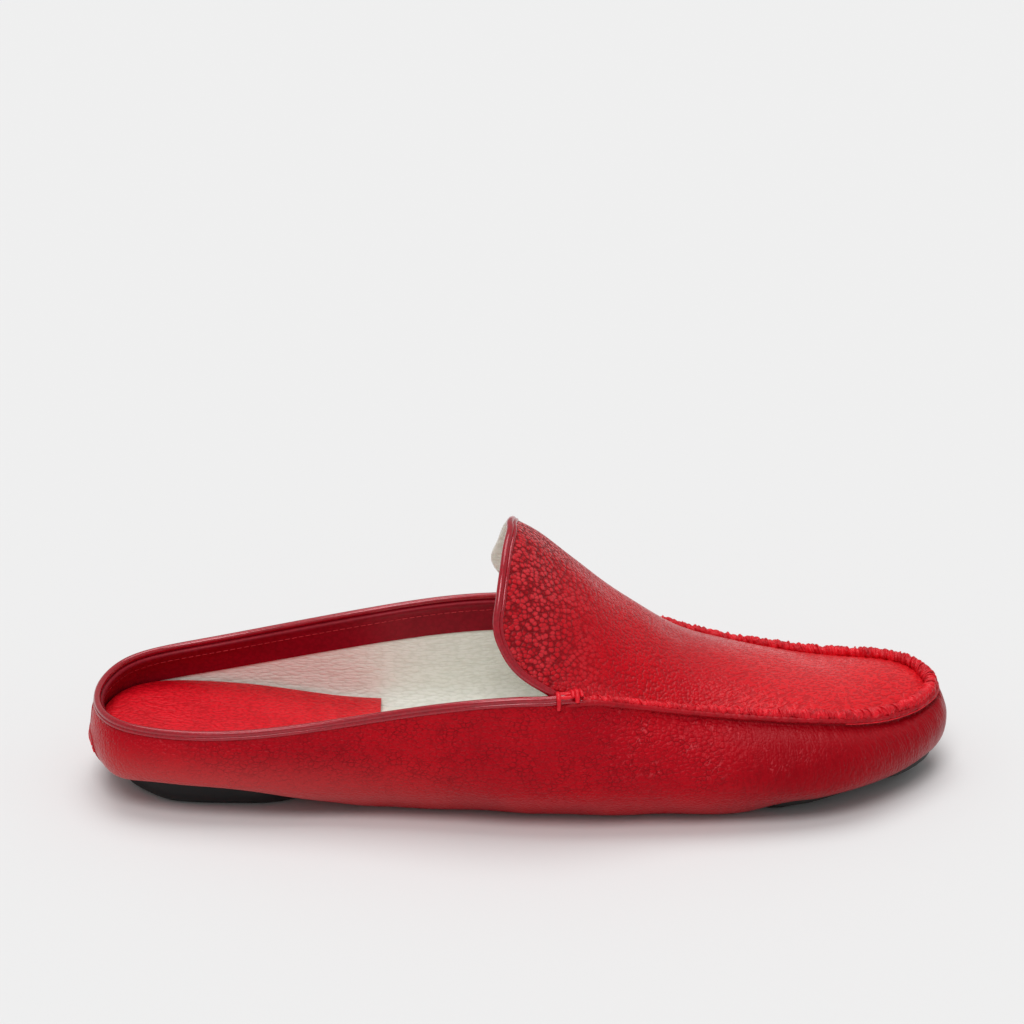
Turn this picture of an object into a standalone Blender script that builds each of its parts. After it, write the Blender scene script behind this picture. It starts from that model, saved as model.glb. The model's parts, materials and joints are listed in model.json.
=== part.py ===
"""A backless moccasin slipper for the right foot, in red grained leather.

The shoe is a true moccasin: one piece of leather, here called the upper, passes
under the foot and up round the sides, toe and heel. An apron with a tall tongue is
set into its throat and sewn on with a raised seam. Two black rubber soles, one
under the forefoot and a wedge under the heel, are stuck below.

While it is built, X runs from the back of the heel to the toe, +Y is the inner side
of the foot and Z is up from the floor. At the end everything is moved so that the
origin lies on the floor under the middle of the shoe. Sizes are in metres.
"""

import math
from collections import namedtuple

import bpy
import numpy as np
from mathutils import Matrix

# Sizes of the last
LENGTH = 0.265
BALL_WIDTH = 0.091
HEEL_WIDTH = 0.065
HEEL_CUP_HEIGHT = 0.0250
THROAT_HEIGHT = 0.0415
TOE_HEIGHT = 0.0230
TONGUE_HEIGHT = 0.0850
TONGUE_BACK = 0.0190
EDGE_ROLL = 0.0100
TOE_SPRING = 0.0048
APRON_INSET = 0.0125

# Sizes of the pieces
UPPER_LEATHER = 0.0020
APRON_LEATHER = 0.0018
SEAM_RIDGE = 0.0028
COLLAR_LIP = 0.0004
PIPING_WIDTH = 0.0030
PIPING_HEIGHT = 0.0026
INSOLE_THICKNESS = 0.0060
HEEL_PAD_THICKNESS = 0.0018
HEEL_PAD_LENGTH = 0.0900
FOREFOOT_SOLE_THICKNESS = 0.0030
HEEL_SOLE_THICKNESS = 0.0095
FOREFOOT_SOLE_LENGTH = 0.1310
HEEL_SOLE_LENGTH = 0.0680
HEEL_SOLE_SETBACK = 0.0110
FOREFOOT_SOLE_INSET = 0.0010
TOE_SOLE_OVERHANG = 0.0014
HEEL_SOLE_INSET = 0.0010
SOLE_EDGE_ROUNDING = 0.0012
HEEL_EDGE_ROUNDING = 0.0045
GAP = 0.0003
FOOTBED_GAP = 0.0006
HEEL_PAD_GAP = 0.0012
THROAT_SOFTNESS = 0.0080

# The piping stops at this share of the way from a throat corner to the next cut
PIPING_END_SHARE = 0.5

# How finely the curved walls are divided
POINTS_ROUND_COLLAR = 24
POINTS_ROUND_SEAM = 20
POINTS_ACROSS_FILL = 4
ROLL_STEPS = 4
WALL_STEPS = 4
APRON_STEPS_ACROSS = 20
SOLE_STEPS_LONG = 24

# One row for each place round the shoe, clockwise from the back of the heel as
# seen from above. along and side place the widest line of the leather, as shares of
# LENGTH and of the local breadth. roll is the reach of the curve under the foot, as a
# share of EDGE_ROLL, and inset is how far the top edge leans in, as a share of
# APRON_INSET. belly is the height of the widest line as a share of the wall, and arc,
# in degrees, is how far the wall above it bends over.
Section = namedtuple("Section", "place along side roll belly arc inset top")
SECTIONS = (
    Section("heel back", 0.000, 0.000, 0.70, 0.48, 45, 0.20, 1.04 * HEEL_CUP_HEIGHT),
    Section("heel inner corner", 0.032, 0.355, 0.70, 0.48, 45, 0.22, 1.10 * HEEL_CUP_HEIGHT),
    Section("heel inner side", 0.125, 0.490, 0.75, 0.46, 40, 0.20, 1.21 * HEEL_CUP_HEIGHT),
    Section("inner waist", 0.330, 0.455, 0.90, 0.42, 35, 0.08, 0.985 * THROAT_HEIGHT),
    Section("inner throat", 0.548, 0.425, 0.95, 0.38, 40, 0.20, 1.02 * THROAT_HEIGHT),
    Section("inner ball", 0.715, 0.495, 1.00, 0.40, 62, 1.04, 1.36 * TOE_HEIGHT),
    Section("big toe joint", 0.855, 0.460, 0.90, 0.45, 68, 0.88, 1.20 * TOE_HEIGHT),
    Section("inner toe corner", 0.975, 0.310, 0.70, 0.50, 68, 0.52, 1.22 * TOE_HEIGHT),
    Section("toe tip", 1.000, 0.080, 0.55, 0.55, 68, 0.44, 1.07 * TOE_HEIGHT),
    Section("outer toe corner", 0.966, -0.117, 0.65, 0.50, 68, 0.58, 1.00 * TOE_HEIGHT),
    Section("little toe", 0.877, -0.342, 0.80, 0.45, 68, 0.84, 1.18 * TOE_HEIGHT),
    Section("outer ball", 0.690, -0.440, 1.00, 0.40, 62, 0.98, 1.43 * TOE_HEIGHT),
    Section("outer throat", 0.560, -0.470, 1.00, 0.38, 45, 0.36, 0.985 * THROAT_HEIGHT),
    Section("outer waist", 0.335, -0.525, 0.95, 0.42, 35, 0.14, 0.815 * THROAT_HEIGHT),
    Section("heel outer side", 0.125, -0.500, 0.75, 0.46, 40, 0.20, 1.05 * HEEL_CUP_HEIGHT),
    Section("heel outer corner", 0.032, -0.358, 0.70, 0.48, 45, 0.26, 1.05 * HEEL_CUP_HEIGHT),
)
INNER_THROAT_ROW = 4
TOE_TIP_ROW = 8
OUTER_THROAT_ROW = 12

# The middle line of the apron, from the toe back to the top of the tongue. along is
# a share of LENGTH, crown is a share of the height left between the seam and
# TONGUE_HEIGHT, and roundness is 1 for an elliptical arch and 2 for a flat one.
Crown = namedtuple("Crown", "place along crown roundness")
CROWNS = (
    Crown("toe", 0.985, 0.00, 1.9),
    Crown("toes", 0.925, 0.070, 1.8),
    Crown("joints", 0.830, 0.120, 1.6),
    Crown("ball", 0.750, 0.180, 1.4),
    Crown("front of instep", 0.680, 0.270, 1.3),
    Crown("instep", 0.620, 0.430, 1.1),
    Crown("throat", 0.560, 0.670, 1.0),
    Crown("tongue", 0.515, 0.900, 1.0),
    Crown("top of tongue", 0.490, 1.000, 1.0),
)

# The back edge of the tongue from a throat corner to the top: height is a share of
# the way up, and back is a share of TONGUE_BACK.
TONGUE_UP = (0.00, 0.08, 0.20, 0.42, 0.70, 1.00)
TONGUE_SET_BACK = (0.00, 0.30, 0.68, 1.00, 0.88, 0.56)

# Height of the leather's underside: share of LENGTH, and share of the heel's wedge
WEDGE_ALONG = (0.00, 0.09, 0.19, 0.285, 0.34, 1.00)
WEDGE_RISE = (1.00, 0.97, 0.58, 0.10, 0.00, 0.00)
SPRING_START_SHARE = 0.70
TOE_SOLE_SHARES = (0.72, 0.84)
BREADTH_SHARES = (0.25, 0.62)

# The seam's ridge in three points over the top edge: share of the leather's
# thickness inwards, and share of the ridge's height
RIDGE_SHAPE = ((0.0, 0.7), (0.5, 1.0), (1.0, 0.7))
APRON_SEAT_SHARE = 0.55
TONGUE_BOW_SHARES = (0.45, 1.0)
APRON_EDGE_CROWDING = 1.6

# How round the ends of the soles are, as shares of the shoe's widths
FOREFOOT_SOLE_BACK_SHARE = 0.50
HEEL_SOLE_BACK_SHARE = 0.30
HEEL_SOLE_FRONT_SHARE = 0.40

RED_LEATHER = ("red_leather", (0.60, 0.006, 0.012), 0.42)
RED_PIPING = ("red_piping", (0.45, 0.006, 0.014), 0.30)
RED_PAD = ("red_pad", (0.66, 0.012, 0.016), 0.60)
PALE_LINING = ("pale_lining", (0.62, 0.64, 0.56), 0.60)
BLACK_RUBBER = ("black_rubber", (0.012, 0.012, 0.013), 0.65)


def smooth_step(value, low, high):
    """0 below low, 1 above high, and smooth between."""
    t = np.clip((value - low) / (high - low), 0, 1)
    return t * t * (3 - 2 * t)


def smooth_table(at, knots, values):
    """Values of a table read along a smooth curve through its entries."""
    knots = np.asarray(knots, float)
    values = np.asarray(values, float)
    tangents = np.gradient(values, knots)
    at = np.clip(at, knots[0], knots[-1])
    cell = np.clip(np.searchsorted(knots, at, side="right") - 1, 0, len(knots) - 2)
    width = knots[cell + 1] - knots[cell]
    t = (at - knots[cell]) / width
    rise = t * t * (3 - 2 * t)
    return (
        values[cell] * (1 - rise)
        + values[cell + 1] * rise
        + width * tangents[cell] * t * (1 - t) ** 2
        - width * tangents[cell + 1] * t * t * (1 - t)
    )


def breadth(along):
    """The width that a section's side share refers to, at a share of the length."""
    blend = smooth_step(along, *BREADTH_SHARES)
    return HEEL_WIDTH + (BALL_WIDTH - HEEL_WIDTH) * blend


def underside(x):
    """Height of the leather's underside above the floor at a distance from the heel."""
    along = np.asarray(x, float) / LENGTH
    wedge = np.interp(along, np.linspace(0, 1, 201), SMOOTH_WEDGE)
    spring = np.clip((along - SPRING_START_SHARE) / (1 - SPRING_START_SHARE), 0, None) ** 2
    rise = (HEEL_SOLE_THICKNESS - FOREFOOT_SOLE_THICKNESS) * wedge
    return FOREFOOT_SOLE_THICKNESS + rise + TOE_SPRING * spring


def smoothed_wedge():
    """The wedge table as an even curve with its corners rounded."""
    even = np.interp(np.linspace(0, 1, 201), WEDGE_ALONG, WEDGE_RISE)
    kernel = np.hanning(15)
    padded = np.pad(even, 7, mode="edge")
    return np.convolve(padded, kernel / kernel.sum(), mode="valid")


SMOOTH_WEDGE = smoothed_wedge()


def closed_spline(knots, values, at):
    """A smooth closed curve through values at the knots, read at other places.

    knots has one more entry than values: the last is where the loop closes.
    """
    values = np.asarray(values, float)
    count = len(values)
    steps = np.diff(knots)
    slopes = (np.roll(values, -1, axis=0) - values) / steps[:, None]
    system = np.zeros((count, count))
    right = np.zeros_like(values)
    for i in range(count):
        before = steps[i - 1]
        after = steps[i]
        system[i, i - 1] += after
        system[i, i] += 2 * (before + after)
        system[i, (i + 1) % count] += before
        right[i] = 3 * (after * slopes[i - 1] + before * slopes[i])
    tangents = np.linalg.solve(system, right)
    at = np.mod(at, knots[-1])
    cell = np.clip(np.searchsorted(knots, at, side="right") - 1, 0, count - 1)
    following = (cell + 1) % count
    width = steps[cell][:, None]
    t = ((at - knots[cell]) / steps[cell])[:, None]
    rise = t * t * (3 - 2 * t)
    return (
        values[cell] * (1 - rise)
        + values[following] * rise
        + width * tangents[cell] * t * (1 - t) ** 2
        - width * tangents[following] * t * t * (1 - t)
    )


def outline_knots():
    """Distance round the widest line to each row of SECTIONS, and the whole way."""
    places = np.array([[s.along * LENGTH, s.side * breadth(s.along)] for s in SECTIONS])
    lengths = np.linalg.norm(np.roll(places, -1, axis=0) - places, axis=1)
    return places, np.concatenate([[0], np.cumsum(lengths)])


class Wall:
    """The upper's wall, as vertical cuts at the given distances round its outline."""

    def __init__(self, at):
        places, knots = outline_knots()
        shape = [[s.roll * EDGE_ROLL, s.belly, s.arc, s.inset * APRON_INSET, s.top] for s in SECTIONS]
        table = np.hstack([places, shape])
        read = closed_spline(knots, table, at)
        self.at = np.asarray(at, float)
        self.widest = read[:, :2]
        self.roll = read[:, 2]
        self.arc = np.radians(read[:, 4])
        self.inset = read[:, 5]
        self.top = read[:, 6]
        nearby = 0.001
        ahead = closed_spline(knots, places, self.at + nearby)
        behind = closed_spline(knots, places, self.at - nearby)
        along = ahead - behind
        along /= np.linalg.norm(along, axis=1)[:, None]
        self.inward = np.stack([along[:, 1], -along[:, 0]], axis=1)
        foot = self.widest + self.inward * self.roll[:, None]
        self.low = underside(foot[:, 0])
        self.middle = self.low + read[:, 3] * (self.top - self.low)

    def points(self, depth, height):
        """World points at a depth inwards from the widest line and a height."""
        flat = self.widest + self.inward * np.broadcast_to(depth, self.roll.shape)[:, None]
        high = np.broadcast_to(height, self.roll.shape)
        return np.column_stack([flat, high])

    def under(self, turn, offset=0.0):
        """Depth and height on the curve under the foot, moved inwards by offset.

        turn runs from 0 at the flat of the bottom to 90 degrees at the widest line.
        """
        rise = self.middle - self.low
        slope = np.stack([-self.roll * np.cos(turn), rise * np.sin(turn)])
        slope /= np.linalg.norm(slope, axis=0)
        depth = self.roll * (1 - np.sin(turn)) + offset * slope[1]
        height = self.low + rise * (1 - np.cos(turn)) - offset * slope[0]
        return depth, height

    def above(self, share, offset=0.0):
        """Depth and height on the wall from the widest line, 0, to the top edge, 1."""
        turn = self.arc * share
        rise = self.top - self.middle
        depth = self.inset * (1 - np.cos(turn)) / (1 - np.cos(self.arc))
        height = self.middle + rise * np.sin(turn) / np.sin(self.arc)
        slope = np.stack(
            [
                self.inset * np.sin(turn) / (1 - np.cos(self.arc)),
                rise * np.cos(turn) / np.sin(self.arc),
            ]
        )
        slope /= np.linalg.norm(slope, axis=0)
        return depth + offset * slope[1], height - offset * slope[0]

    def layer(self, offset, thickness, steps=3):
        """The turns under the foot where a layer laid inside the wall ends.

        The layer rests on the wall moved in by offset and has a flat top.
        """
        turns = np.linspace(0, math.pi / 2, 91)
        rise = np.array([self.under(t, offset)[1] for t in turns])
        rise -= self.low + offset
        last = [np.interp(thickness, rise[:, i], turns) for i in range(rise.shape[1])]
        return [np.array(last) * k / steps for k in range(1, steps + 1)]


def places_round():
    """Distances round the outline of the upper's cuts, even in each of four spans.

    The spans are parted at the heel back, the throat's corners and the toe tip.
    """
    knots = outline_knots()[1]
    inner, outer = throat_ends()
    spans = (
        (0, inner, POINTS_ROUND_COLLAR),
        (inner, knots[TOE_TIP_ROW], POINTS_ROUND_SEAM),
        (knots[TOE_TIP_ROW], outer, POINTS_ROUND_SEAM),
        (outer, knots[-1], POINTS_ROUND_COLLAR),
    )
    return np.concatenate([np.linspace(a, b, count, endpoint=False) for a, b, count in spans])


def throat_ends():
    """Distances round the outline to the two corners where collar and tongue meet."""
    knots = outline_knots()[1]
    return knots[INNER_THROAT_ROW], knots[OUTER_THROAT_ROW]


def seam_share(at):
    """1 where the apron is sewn on, 0 along the open collar, smooth at the corners."""
    inner, outer = throat_ends()
    soft = THROAT_SOFTNESS
    opened = smooth_step(at, inner - soft, inner + soft)
    closed = smooth_step(at, outer - soft, outer + soft)
    return opened * (1 - closed)


def make_object(name, points, faces, finish):
    """One named object from points and faces, shaded smooth, with its material."""
    mesh = bpy.data.meshes.new(name)
    mesh.from_pydata([tuple(p) for p in points], [], [tuple(f) for f in faces])
    mesh.validate()
    piece = bpy.data.objects.new(name, mesh)
    bpy.context.scene.collection.objects.link(piece)
    mesh.materials.append(material(finish))
    mesh.shade_smooth()
    mesh.set_sharp_from_angle(angle=math.radians(40))
    return piece


def material(finish):
    """The Principled material of a finish, made once."""
    name, colour, roughness = finish
    found = bpy.data.materials.get(name)
    if found:
        return found
    made = bpy.data.materials.new(name)
    made.use_nodes = True
    shader = made.node_tree.nodes["Principled BSDF"]
    shader.inputs["Base Color"].default_value = (*colour, 1)
    shader.inputs["Roughness"].default_value = roughness
    shader.inputs["Metallic"].default_value = 0.0
    return made


def fill_across(ring, first, points, downwards):
    """Faces that close a ring by strips across the shoe, with points added between.

    ring holds the ring's own points and first is the number of its first point.
    Point 0 is the heel end and the middle point is the toe end.
    """
    count = len(ring)
    half = count // 2
    lines = [[first]]
    for i in range(1, half):
        across = [first + i]
        for k in range(1, POINTS_ACROSS_FILL):
            share = k / POINTS_ACROSS_FILL
            across.append(len(points))
            points.append(ring[i] * (1 - share) + ring[count - i] * share)
        across.append(first + count - i)
        lines.append(across)
    lines.append([first + half])
    faces = []
    for near, far in zip(lines, lines[1:]):
        if len(near) == 1:
            near = near * len(far)
        if len(far) == 1:
            far = far * len(near)
        for k in range(len(near) - 1):
            corners = [near[k], far[k], far[k + 1], near[k + 1]]
            face = [c for i, c in enumerate(corners) if c not in corners[:i]]
            faces.append(face if downwards else face[::-1])
    return faces


def rings_solid(name, rings, finish):
    """A closed solid from rings of points: the first faces down, the last up.

    Each ring runs clockwise from the heel end, and has its toe end half way.
    """
    count = len(rings[0])
    points = [np.array(p) for ring in rings for p in ring]
    faces = []
    for k in range(len(rings) - 1):
        low = k * count
        high = low + count
        for i in range(count):
            j = (i + 1) % count
            faces.append([low + i, high + i, high + j, low + j])
    faces += fill_across(rings[0], 0, points, downwards=True)
    faces += fill_across(rings[-1], (len(rings) - 1) * count, points, downwards=False)
    return make_object(name, points, faces, finish)


def outwards(points, faces):
    """The faces of a closed surface, turned round if they point inwards."""
    total = 0.0
    for face in faces:
        a = points[face[0]]
        for i in range(1, len(face) - 1):
            total += float(np.dot(a, np.cross(points[face[i]], points[face[i + 1]])))
    return faces if total > 0 else [face[::-1] for face in faces]


def lip_height(at):
    """How far the upper's edge stands above the wall: raised where it is sewn."""
    return COLLAR_LIP + (SEAM_RIDGE - COLLAR_LIP) * seam_share(at)


def make_upper():
    """The moccasin wrap: a bowl of leather with a raised seam edge round the throat."""
    wall = Wall(places_round())
    lip = lip_height(wall.at)
    turns = [k / ROLL_STEPS * math.pi / 2 for k in range(ROLL_STEPS + 1)]
    rings = [wall.points(*wall.under(turn)) for turn in turns]
    for k in range(1, WALL_STEPS + 1):
        rings.append(wall.points(*wall.above(k / WALL_STEPS)))
    for inwards, upwards in RIDGE_SHAPE:
        rings.append(wall.points(wall.inset + inwards * UPPER_LEATHER, wall.top + upwards * lip))
    for k in range(WALL_STEPS, -1, -1):
        rings.append(wall.points(*wall.above(k / WALL_STEPS, UPPER_LEATHER)))
    rings += [wall.points(*wall.under(turn, UPPER_LEATHER)) for turn in turns[-2::-1]]
    return rings_solid("upper", rings, RED_LEATHER)


def apron_grid():
    """Points of the apron's outer face, toe to tongue and outer side to inner side."""
    wall = Wall(places_round())
    edge = wall.points(wall.inset + UPPER_LEATHER + GAP, wall.top + APRON_SEAT_SHARE * SEAM_RIDGE)
    toe = POINTS_ROUND_COLLAR + POINTS_ROUND_SEAM
    outer_edge = edge[toe : toe + POINTS_ROUND_SEAM + 1].copy()
    inner_edge = edge[toe : POINTS_ROUND_COLLAR - 1 : -1].copy()
    for side in (outer_edge, inner_edge):
        side[0] += 0.3 * (side[1] - side[0])
    shares = np.linspace(0, 1, POINTS_ROUND_SEAM + 1)
    crown_at = [c.along * LENGTH for c in CROWNS][::-1]
    crown_up = [c.crown for c in CROWNS][::-1]
    crown_round = [c.roundness for c in CROWNS][::-1]
    half = 0.5 * math.pi * np.linspace(0, 1, APRON_STEPS_ACROSS // 2 + 1) ** APRON_EDGE_CROWDING
    turn = np.concatenate([half, math.pi - half[-2::-1]])
    across = 0.5 * (1 - np.cos(turn))
    bow = TONGUE_BACK * smooth_table(np.sin(turn), TONGUE_UP, TONGUE_SET_BACK)
    rows = []
    for k, share in enumerate(shares):
        a = outer_edge[k]
        b = inner_edge[k]
        line = a + (b - a) * across[:, None]
        line[:, 0] -= bow * smooth_step(share, *TONGUE_BOW_SHARES)
        top = line[len(line) // 2, 0]
        rise = smooth_table(top, crown_at, crown_up) * (TONGUE_HEIGHT - 0.5 * (a[2] + b[2]))
        roundness = smooth_table(top, crown_at, crown_round)
        line[:, 2] += rise * np.sin(turn) ** roundness
        rows.append(line)
    return np.array(rows)


def grid_normals(grid):
    """Unit normals of a grid of points, on the side that points up and out."""
    long = np.gradient(grid, axis=0)
    wide = np.gradient(grid, axis=1)
    normal = np.cross(wide, long)
    normal /= np.linalg.norm(normal, axis=2)[:, :, None]
    normal[0] = normal[1]
    normal[:, 0] = normal[:, 1]
    normal[:, -1] = normal[:, -2]
    return normal if normal[:, :, 2].mean() > 0 else -normal


def make_apron():
    """The apron and its tongue, one piece of leather set inside the raised seam."""
    outside = apron_grid()
    inside = outside - grid_normals(outside) * APRON_LEATHER
    rows, columns = outside.shape[:2]
    points = [*outside.reshape(-1, 3), *inside.reshape(-1, 3)]
    under = rows * columns
    faces = []
    for i in range(rows - 1):
        for j in range(columns - 1):
            a = i * columns + j
            b = a + columns
            faces.append([a, a + 1, b + 1, b])
            faces.append([under + a, under + b, under + b + 1, under + a + 1])
    border = (
        [i * columns for i in range(rows)]
        + [(rows - 1) * columns + j for j in range(1, columns)]
        + [i * columns + columns - 1 for i in range(rows - 2, -1, -1)]
        + [j for j in range(columns - 2, 0, -1)]
    )
    for a, b in zip(border, border[1:] + border[:1]):
        faces.append([a, b, under + b, under + a])
    return make_object("apron", points, outwards(points, faces), RED_LEATHER)


def piping_profile():
    """The cut through a piping: side and height of each corner, flat underneath."""
    half = 0.5 * PIPING_WIDTH
    straight = PIPING_HEIGHT - half
    foot = 0.7 * half
    turns = np.linspace(0, math.pi, 7)
    arc = [(half * math.cos(a), straight + half * math.sin(a)) for a in turns]
    return np.array([(foot, 0.0), *arc, (-foot, 0.0)])


def sweep(name, path, side, beyond, profile, finish):
    """A solid with the profile carried along a path, in frames of side and beyond."""
    count = len(profile)
    points = []
    for place, across, up in zip(path, side, beyond):
        points += [place + across * p[0] + up * p[1] for p in profile]
    faces = []
    for k in range(len(path) - 1):
        low = k * count
        high = low + count
        for i in range(count):
            j = (i + 1) % count
            faces.append([low + i, low + j, high + j, high + i])
    faces.append(list(range(count))[::-1])
    faces.append([(len(path) - 1) * count + i for i in range(count)])
    return make_object(name, points, outwards(points, faces), finish)


def make_collar_piping():
    """The rolled strip along the collar's edge, from throat corner to throat corner."""
    wall = Wall(np.roll(places_round(), POINTS_ROUND_COLLAR)[: 2 * POINTS_ROUND_COLLAR + 1])
    path = wall.points(wall.inset + 0.5 * UPPER_LEATHER, wall.top + lip_height(wall.at) + GAP)
    path[0] += PIPING_END_SHARE * (path[1] - path[0])
    path[-1] += PIPING_END_SHARE * (path[-2] - path[-1])
    side = np.column_stack([-wall.inward, np.zeros(len(path))])
    up = np.zeros_like(path)
    up[:, 2] = 1
    return sweep("collar_piping", path, side, up, piping_profile(), RED_PIPING)


def make_tongue_piping():
    """The rolled strip along the tongue's back edge."""
    grid = apron_grid()
    normal = grid_normals(grid)[-1]
    away = grid[-1] - grid[-2]
    away /= np.linalg.norm(away, axis=1)[:, None]
    path = grid[-1] - normal * 0.5 * APRON_LEATHER + away * GAP
    keep = slice(2, -2)
    return sweep("tongue_piping", path[keep], normal[keep], away[keep], piping_profile(), RED_PIPING)


def make_insole():
    """The footbed, which fills the bottom of the upper to its thickness."""
    wall = Wall(places_round())
    offset = UPPER_LEATHER + FOOTBED_GAP
    turns = [0.0, *wall.layer(offset, INSOLE_THICKNESS)]
    rings = [wall.points(*wall.under(turn, offset)) for turn in turns]
    rings.append(wall.points(wall.roll, wall.low + offset + INSOLE_THICKNESS))
    return rings_solid("insole", rings, PALE_LINING)


def make_heel_pad():
    """The red pad on the back of the footbed, cut straight across in front."""
    knots = outline_knots()[1]
    steps = 17
    dense = Wall(np.linspace(0, knots[-1], 721))
    toe = knots[TOE_TIP_ROW]
    inner_side = dense.at < toe
    inner_end = np.interp(HEEL_PAD_LENGTH, dense.widest[inner_side, 0], dense.at[inner_side])
    outer_x = dense.widest[~inner_side, 0][::-1]
    outer_end = np.interp(HEEL_PAD_LENGTH, outer_x, dense.at[~inner_side][::-1])
    inner_at = np.linspace(0, inner_end, steps)
    outer_at = np.linspace(outer_end, knots[-1], steps)[:-1]
    at = np.concatenate([inner_at, outer_at])
    wall = Wall(at)
    under = UPPER_LEATHER + FOOTBED_GAP + INSOLE_THICKNESS + GAP
    over = under + HEEL_PAD_THICKNESS
    offset = UPPER_LEATHER + HEEL_PAD_GAP
    rings = []
    for height in (under, over):
        turn = wall.layer(offset, height - offset, steps=1)[0]
        depth, _ = wall.under(turn, offset)
        rings.append(wall.points(depth, wall.low + height))
    closed = []
    for ring in rings:
        front = 0.5 * (ring[steps - 1] + ring[steps])
        closed.append(np.vstack([ring[:steps], front[None], ring[steps:]]))
    return rings_solid("heel_pad", closed, RED_PAD)


def foot_sides(toe_inset, heel_inset):
    """The flat bottom's edge as x and y, on the inner side and on the outer side.

    It is moved inwards by toe_inset at the toe and by heel_inset from the ball back.
    """
    wall = Wall(np.linspace(0, outline_knots()[1][-1], 721))
    toe_share = smooth_step(wall.widest[:, 0] / LENGTH, *TOE_SOLE_SHARES)
    edge = wall.points(wall.roll + heel_inset + (toe_inset - heel_inset) * toe_share, 0.0)
    edge = np.roll(edge[:-1], -int(np.argmin(edge[:, 0])), axis=0)
    toe = int(np.argmax(edge[:, 0]))
    return edge[: toe + 1], edge[toe:][::-1]


def sole_outline(sides, start, end, back_reach, front_reach, shrink):
    """A ring round a sole from start to end, rounded over the reaches at its ends."""
    inner, outer = sides
    start += shrink
    end -= shrink
    turn = np.linspace(0, math.pi, SOLE_STEPS_LONG + 1)
    x = start + (end - start) * 0.5 * (1 - np.cos(turn))
    ring_inner = np.interp(x, inner[:, 0], inner[:, 1])
    ring_outer = np.interp(x, outer[:, 0], outer[:, 1])
    middle = 0.5 * (ring_inner + ring_outer)
    width = 0.5 * (ring_inner - ring_outer) - shrink
    for reach, distance in ((back_reach, x - start), (front_reach, end - x)):
        if reach:
            left = 1 - np.clip(distance / reach, 0, 1)
            width = width * np.sqrt(np.clip(1 - left**2, 0, None))
    width[0] = 0
    width[-1] = 0
    near = np.column_stack([x, middle + width])
    far = np.column_stack([x, middle - width])
    return np.concatenate([near, far[-2:0:-1]])


def make_sole(name, sides, span, reaches, rounding, underneath):
    """A rubber sole under the leather, with a rounded lower edge.

    span is where it starts and ends, and reaches is how far its two ends are round.
    """
    rings = []
    for turn in (0.0, 45.0, 90.0):
        shrink = rounding * (1 - math.sin(math.radians(turn)))
        flat = sole_outline(sides, *span, *reaches, shrink)
        low = underneath(flat[:, 0])
        top = underside(flat[:, 0]) - GAP
        lift = np.minimum(rounding * (1 - math.cos(math.radians(turn))), 0.8 * (top - low))
        rings.append(np.column_stack([flat, low + lift]))
    rings.append(np.column_stack([flat, top]))
    return rings_solid(name, rings, BLACK_RUBBER)


def make_forefoot_sole():
    """The thin sole under the forefoot, round at its back end."""
    sides = foot_sides(-TOE_SOLE_OVERHANG, FOREFOOT_SOLE_INSET)
    end = sides[0][-1, 0]
    return make_sole(
        "forefoot_sole",
        sides,
        (end - FOREFOOT_SOLE_LENGTH, end),
        (FOREFOOT_SOLE_BACK_SHARE * BALL_WIDTH, 0.0),
        SOLE_EDGE_ROUNDING,
        lambda x: underside(x) - FOREFOOT_SOLE_THICKNESS,
    )


def make_heel_sole():
    """The wedge under the heel, flat on the floor and thickest at the back."""
    return make_sole(
        "heel_sole",
        foot_sides(HEEL_SOLE_INSET, HEEL_SOLE_INSET),
        (HEEL_SOLE_SETBACK, HEEL_SOLE_SETBACK + HEEL_SOLE_LENGTH),
        (HEEL_SOLE_BACK_SHARE * HEEL_WIDTH, HEEL_SOLE_FRONT_SHARE * HEEL_WIDTH),
        HEEL_EDGE_ROUNDING,
        lambda x: np.zeros_like(x),
    )


def stand_on_origin(pieces):
    """Moves every piece so that the origin is on the floor under the shoe's middle."""
    corners = np.array([list(v.co) for piece in pieces for v in piece.data.vertices])
    low = corners.min(axis=0)
    high = corners.max(axis=0)
    move = Matrix.Translation((-0.5 * (low[0] + high[0]), -0.5 * (low[1] + high[1]), -low[2]))
    for piece in pieces:
        piece.data.transform(move)


def main():
    for old in list(bpy.data.objects):
        bpy.data.objects.remove(old)
    pieces = [
        make_upper(),
        make_apron(),
        make_collar_piping(),
        make_tongue_piping(),
        make_insole(),
        make_heel_pad(),
        make_forefoot_sole(),
        make_heel_sole(),
    ]
    stand_on_origin(pieces)


main()
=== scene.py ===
# %% [markdown]
# # A backless moccasin slipper in red grained leather
#
# A moccasin starts from one piece of soft leather, the wrap, that passes under the foot
# and up round its sides. A second piece, the apron, is sewn into the top with a raised,
# gathered seam and runs back into a tall tongue. Everything here is built on the packed
# CAD pieces: each cell copies one of them or measures it, and makes what a shoemaker
# would see. Lengths are in metres.

import json
import math
from contextlib import contextmanager

import bpy
import numpy as np
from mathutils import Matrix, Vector
from mathutils.bvhtree import BVHTree
from mathutils.kdtree import KDTree

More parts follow.
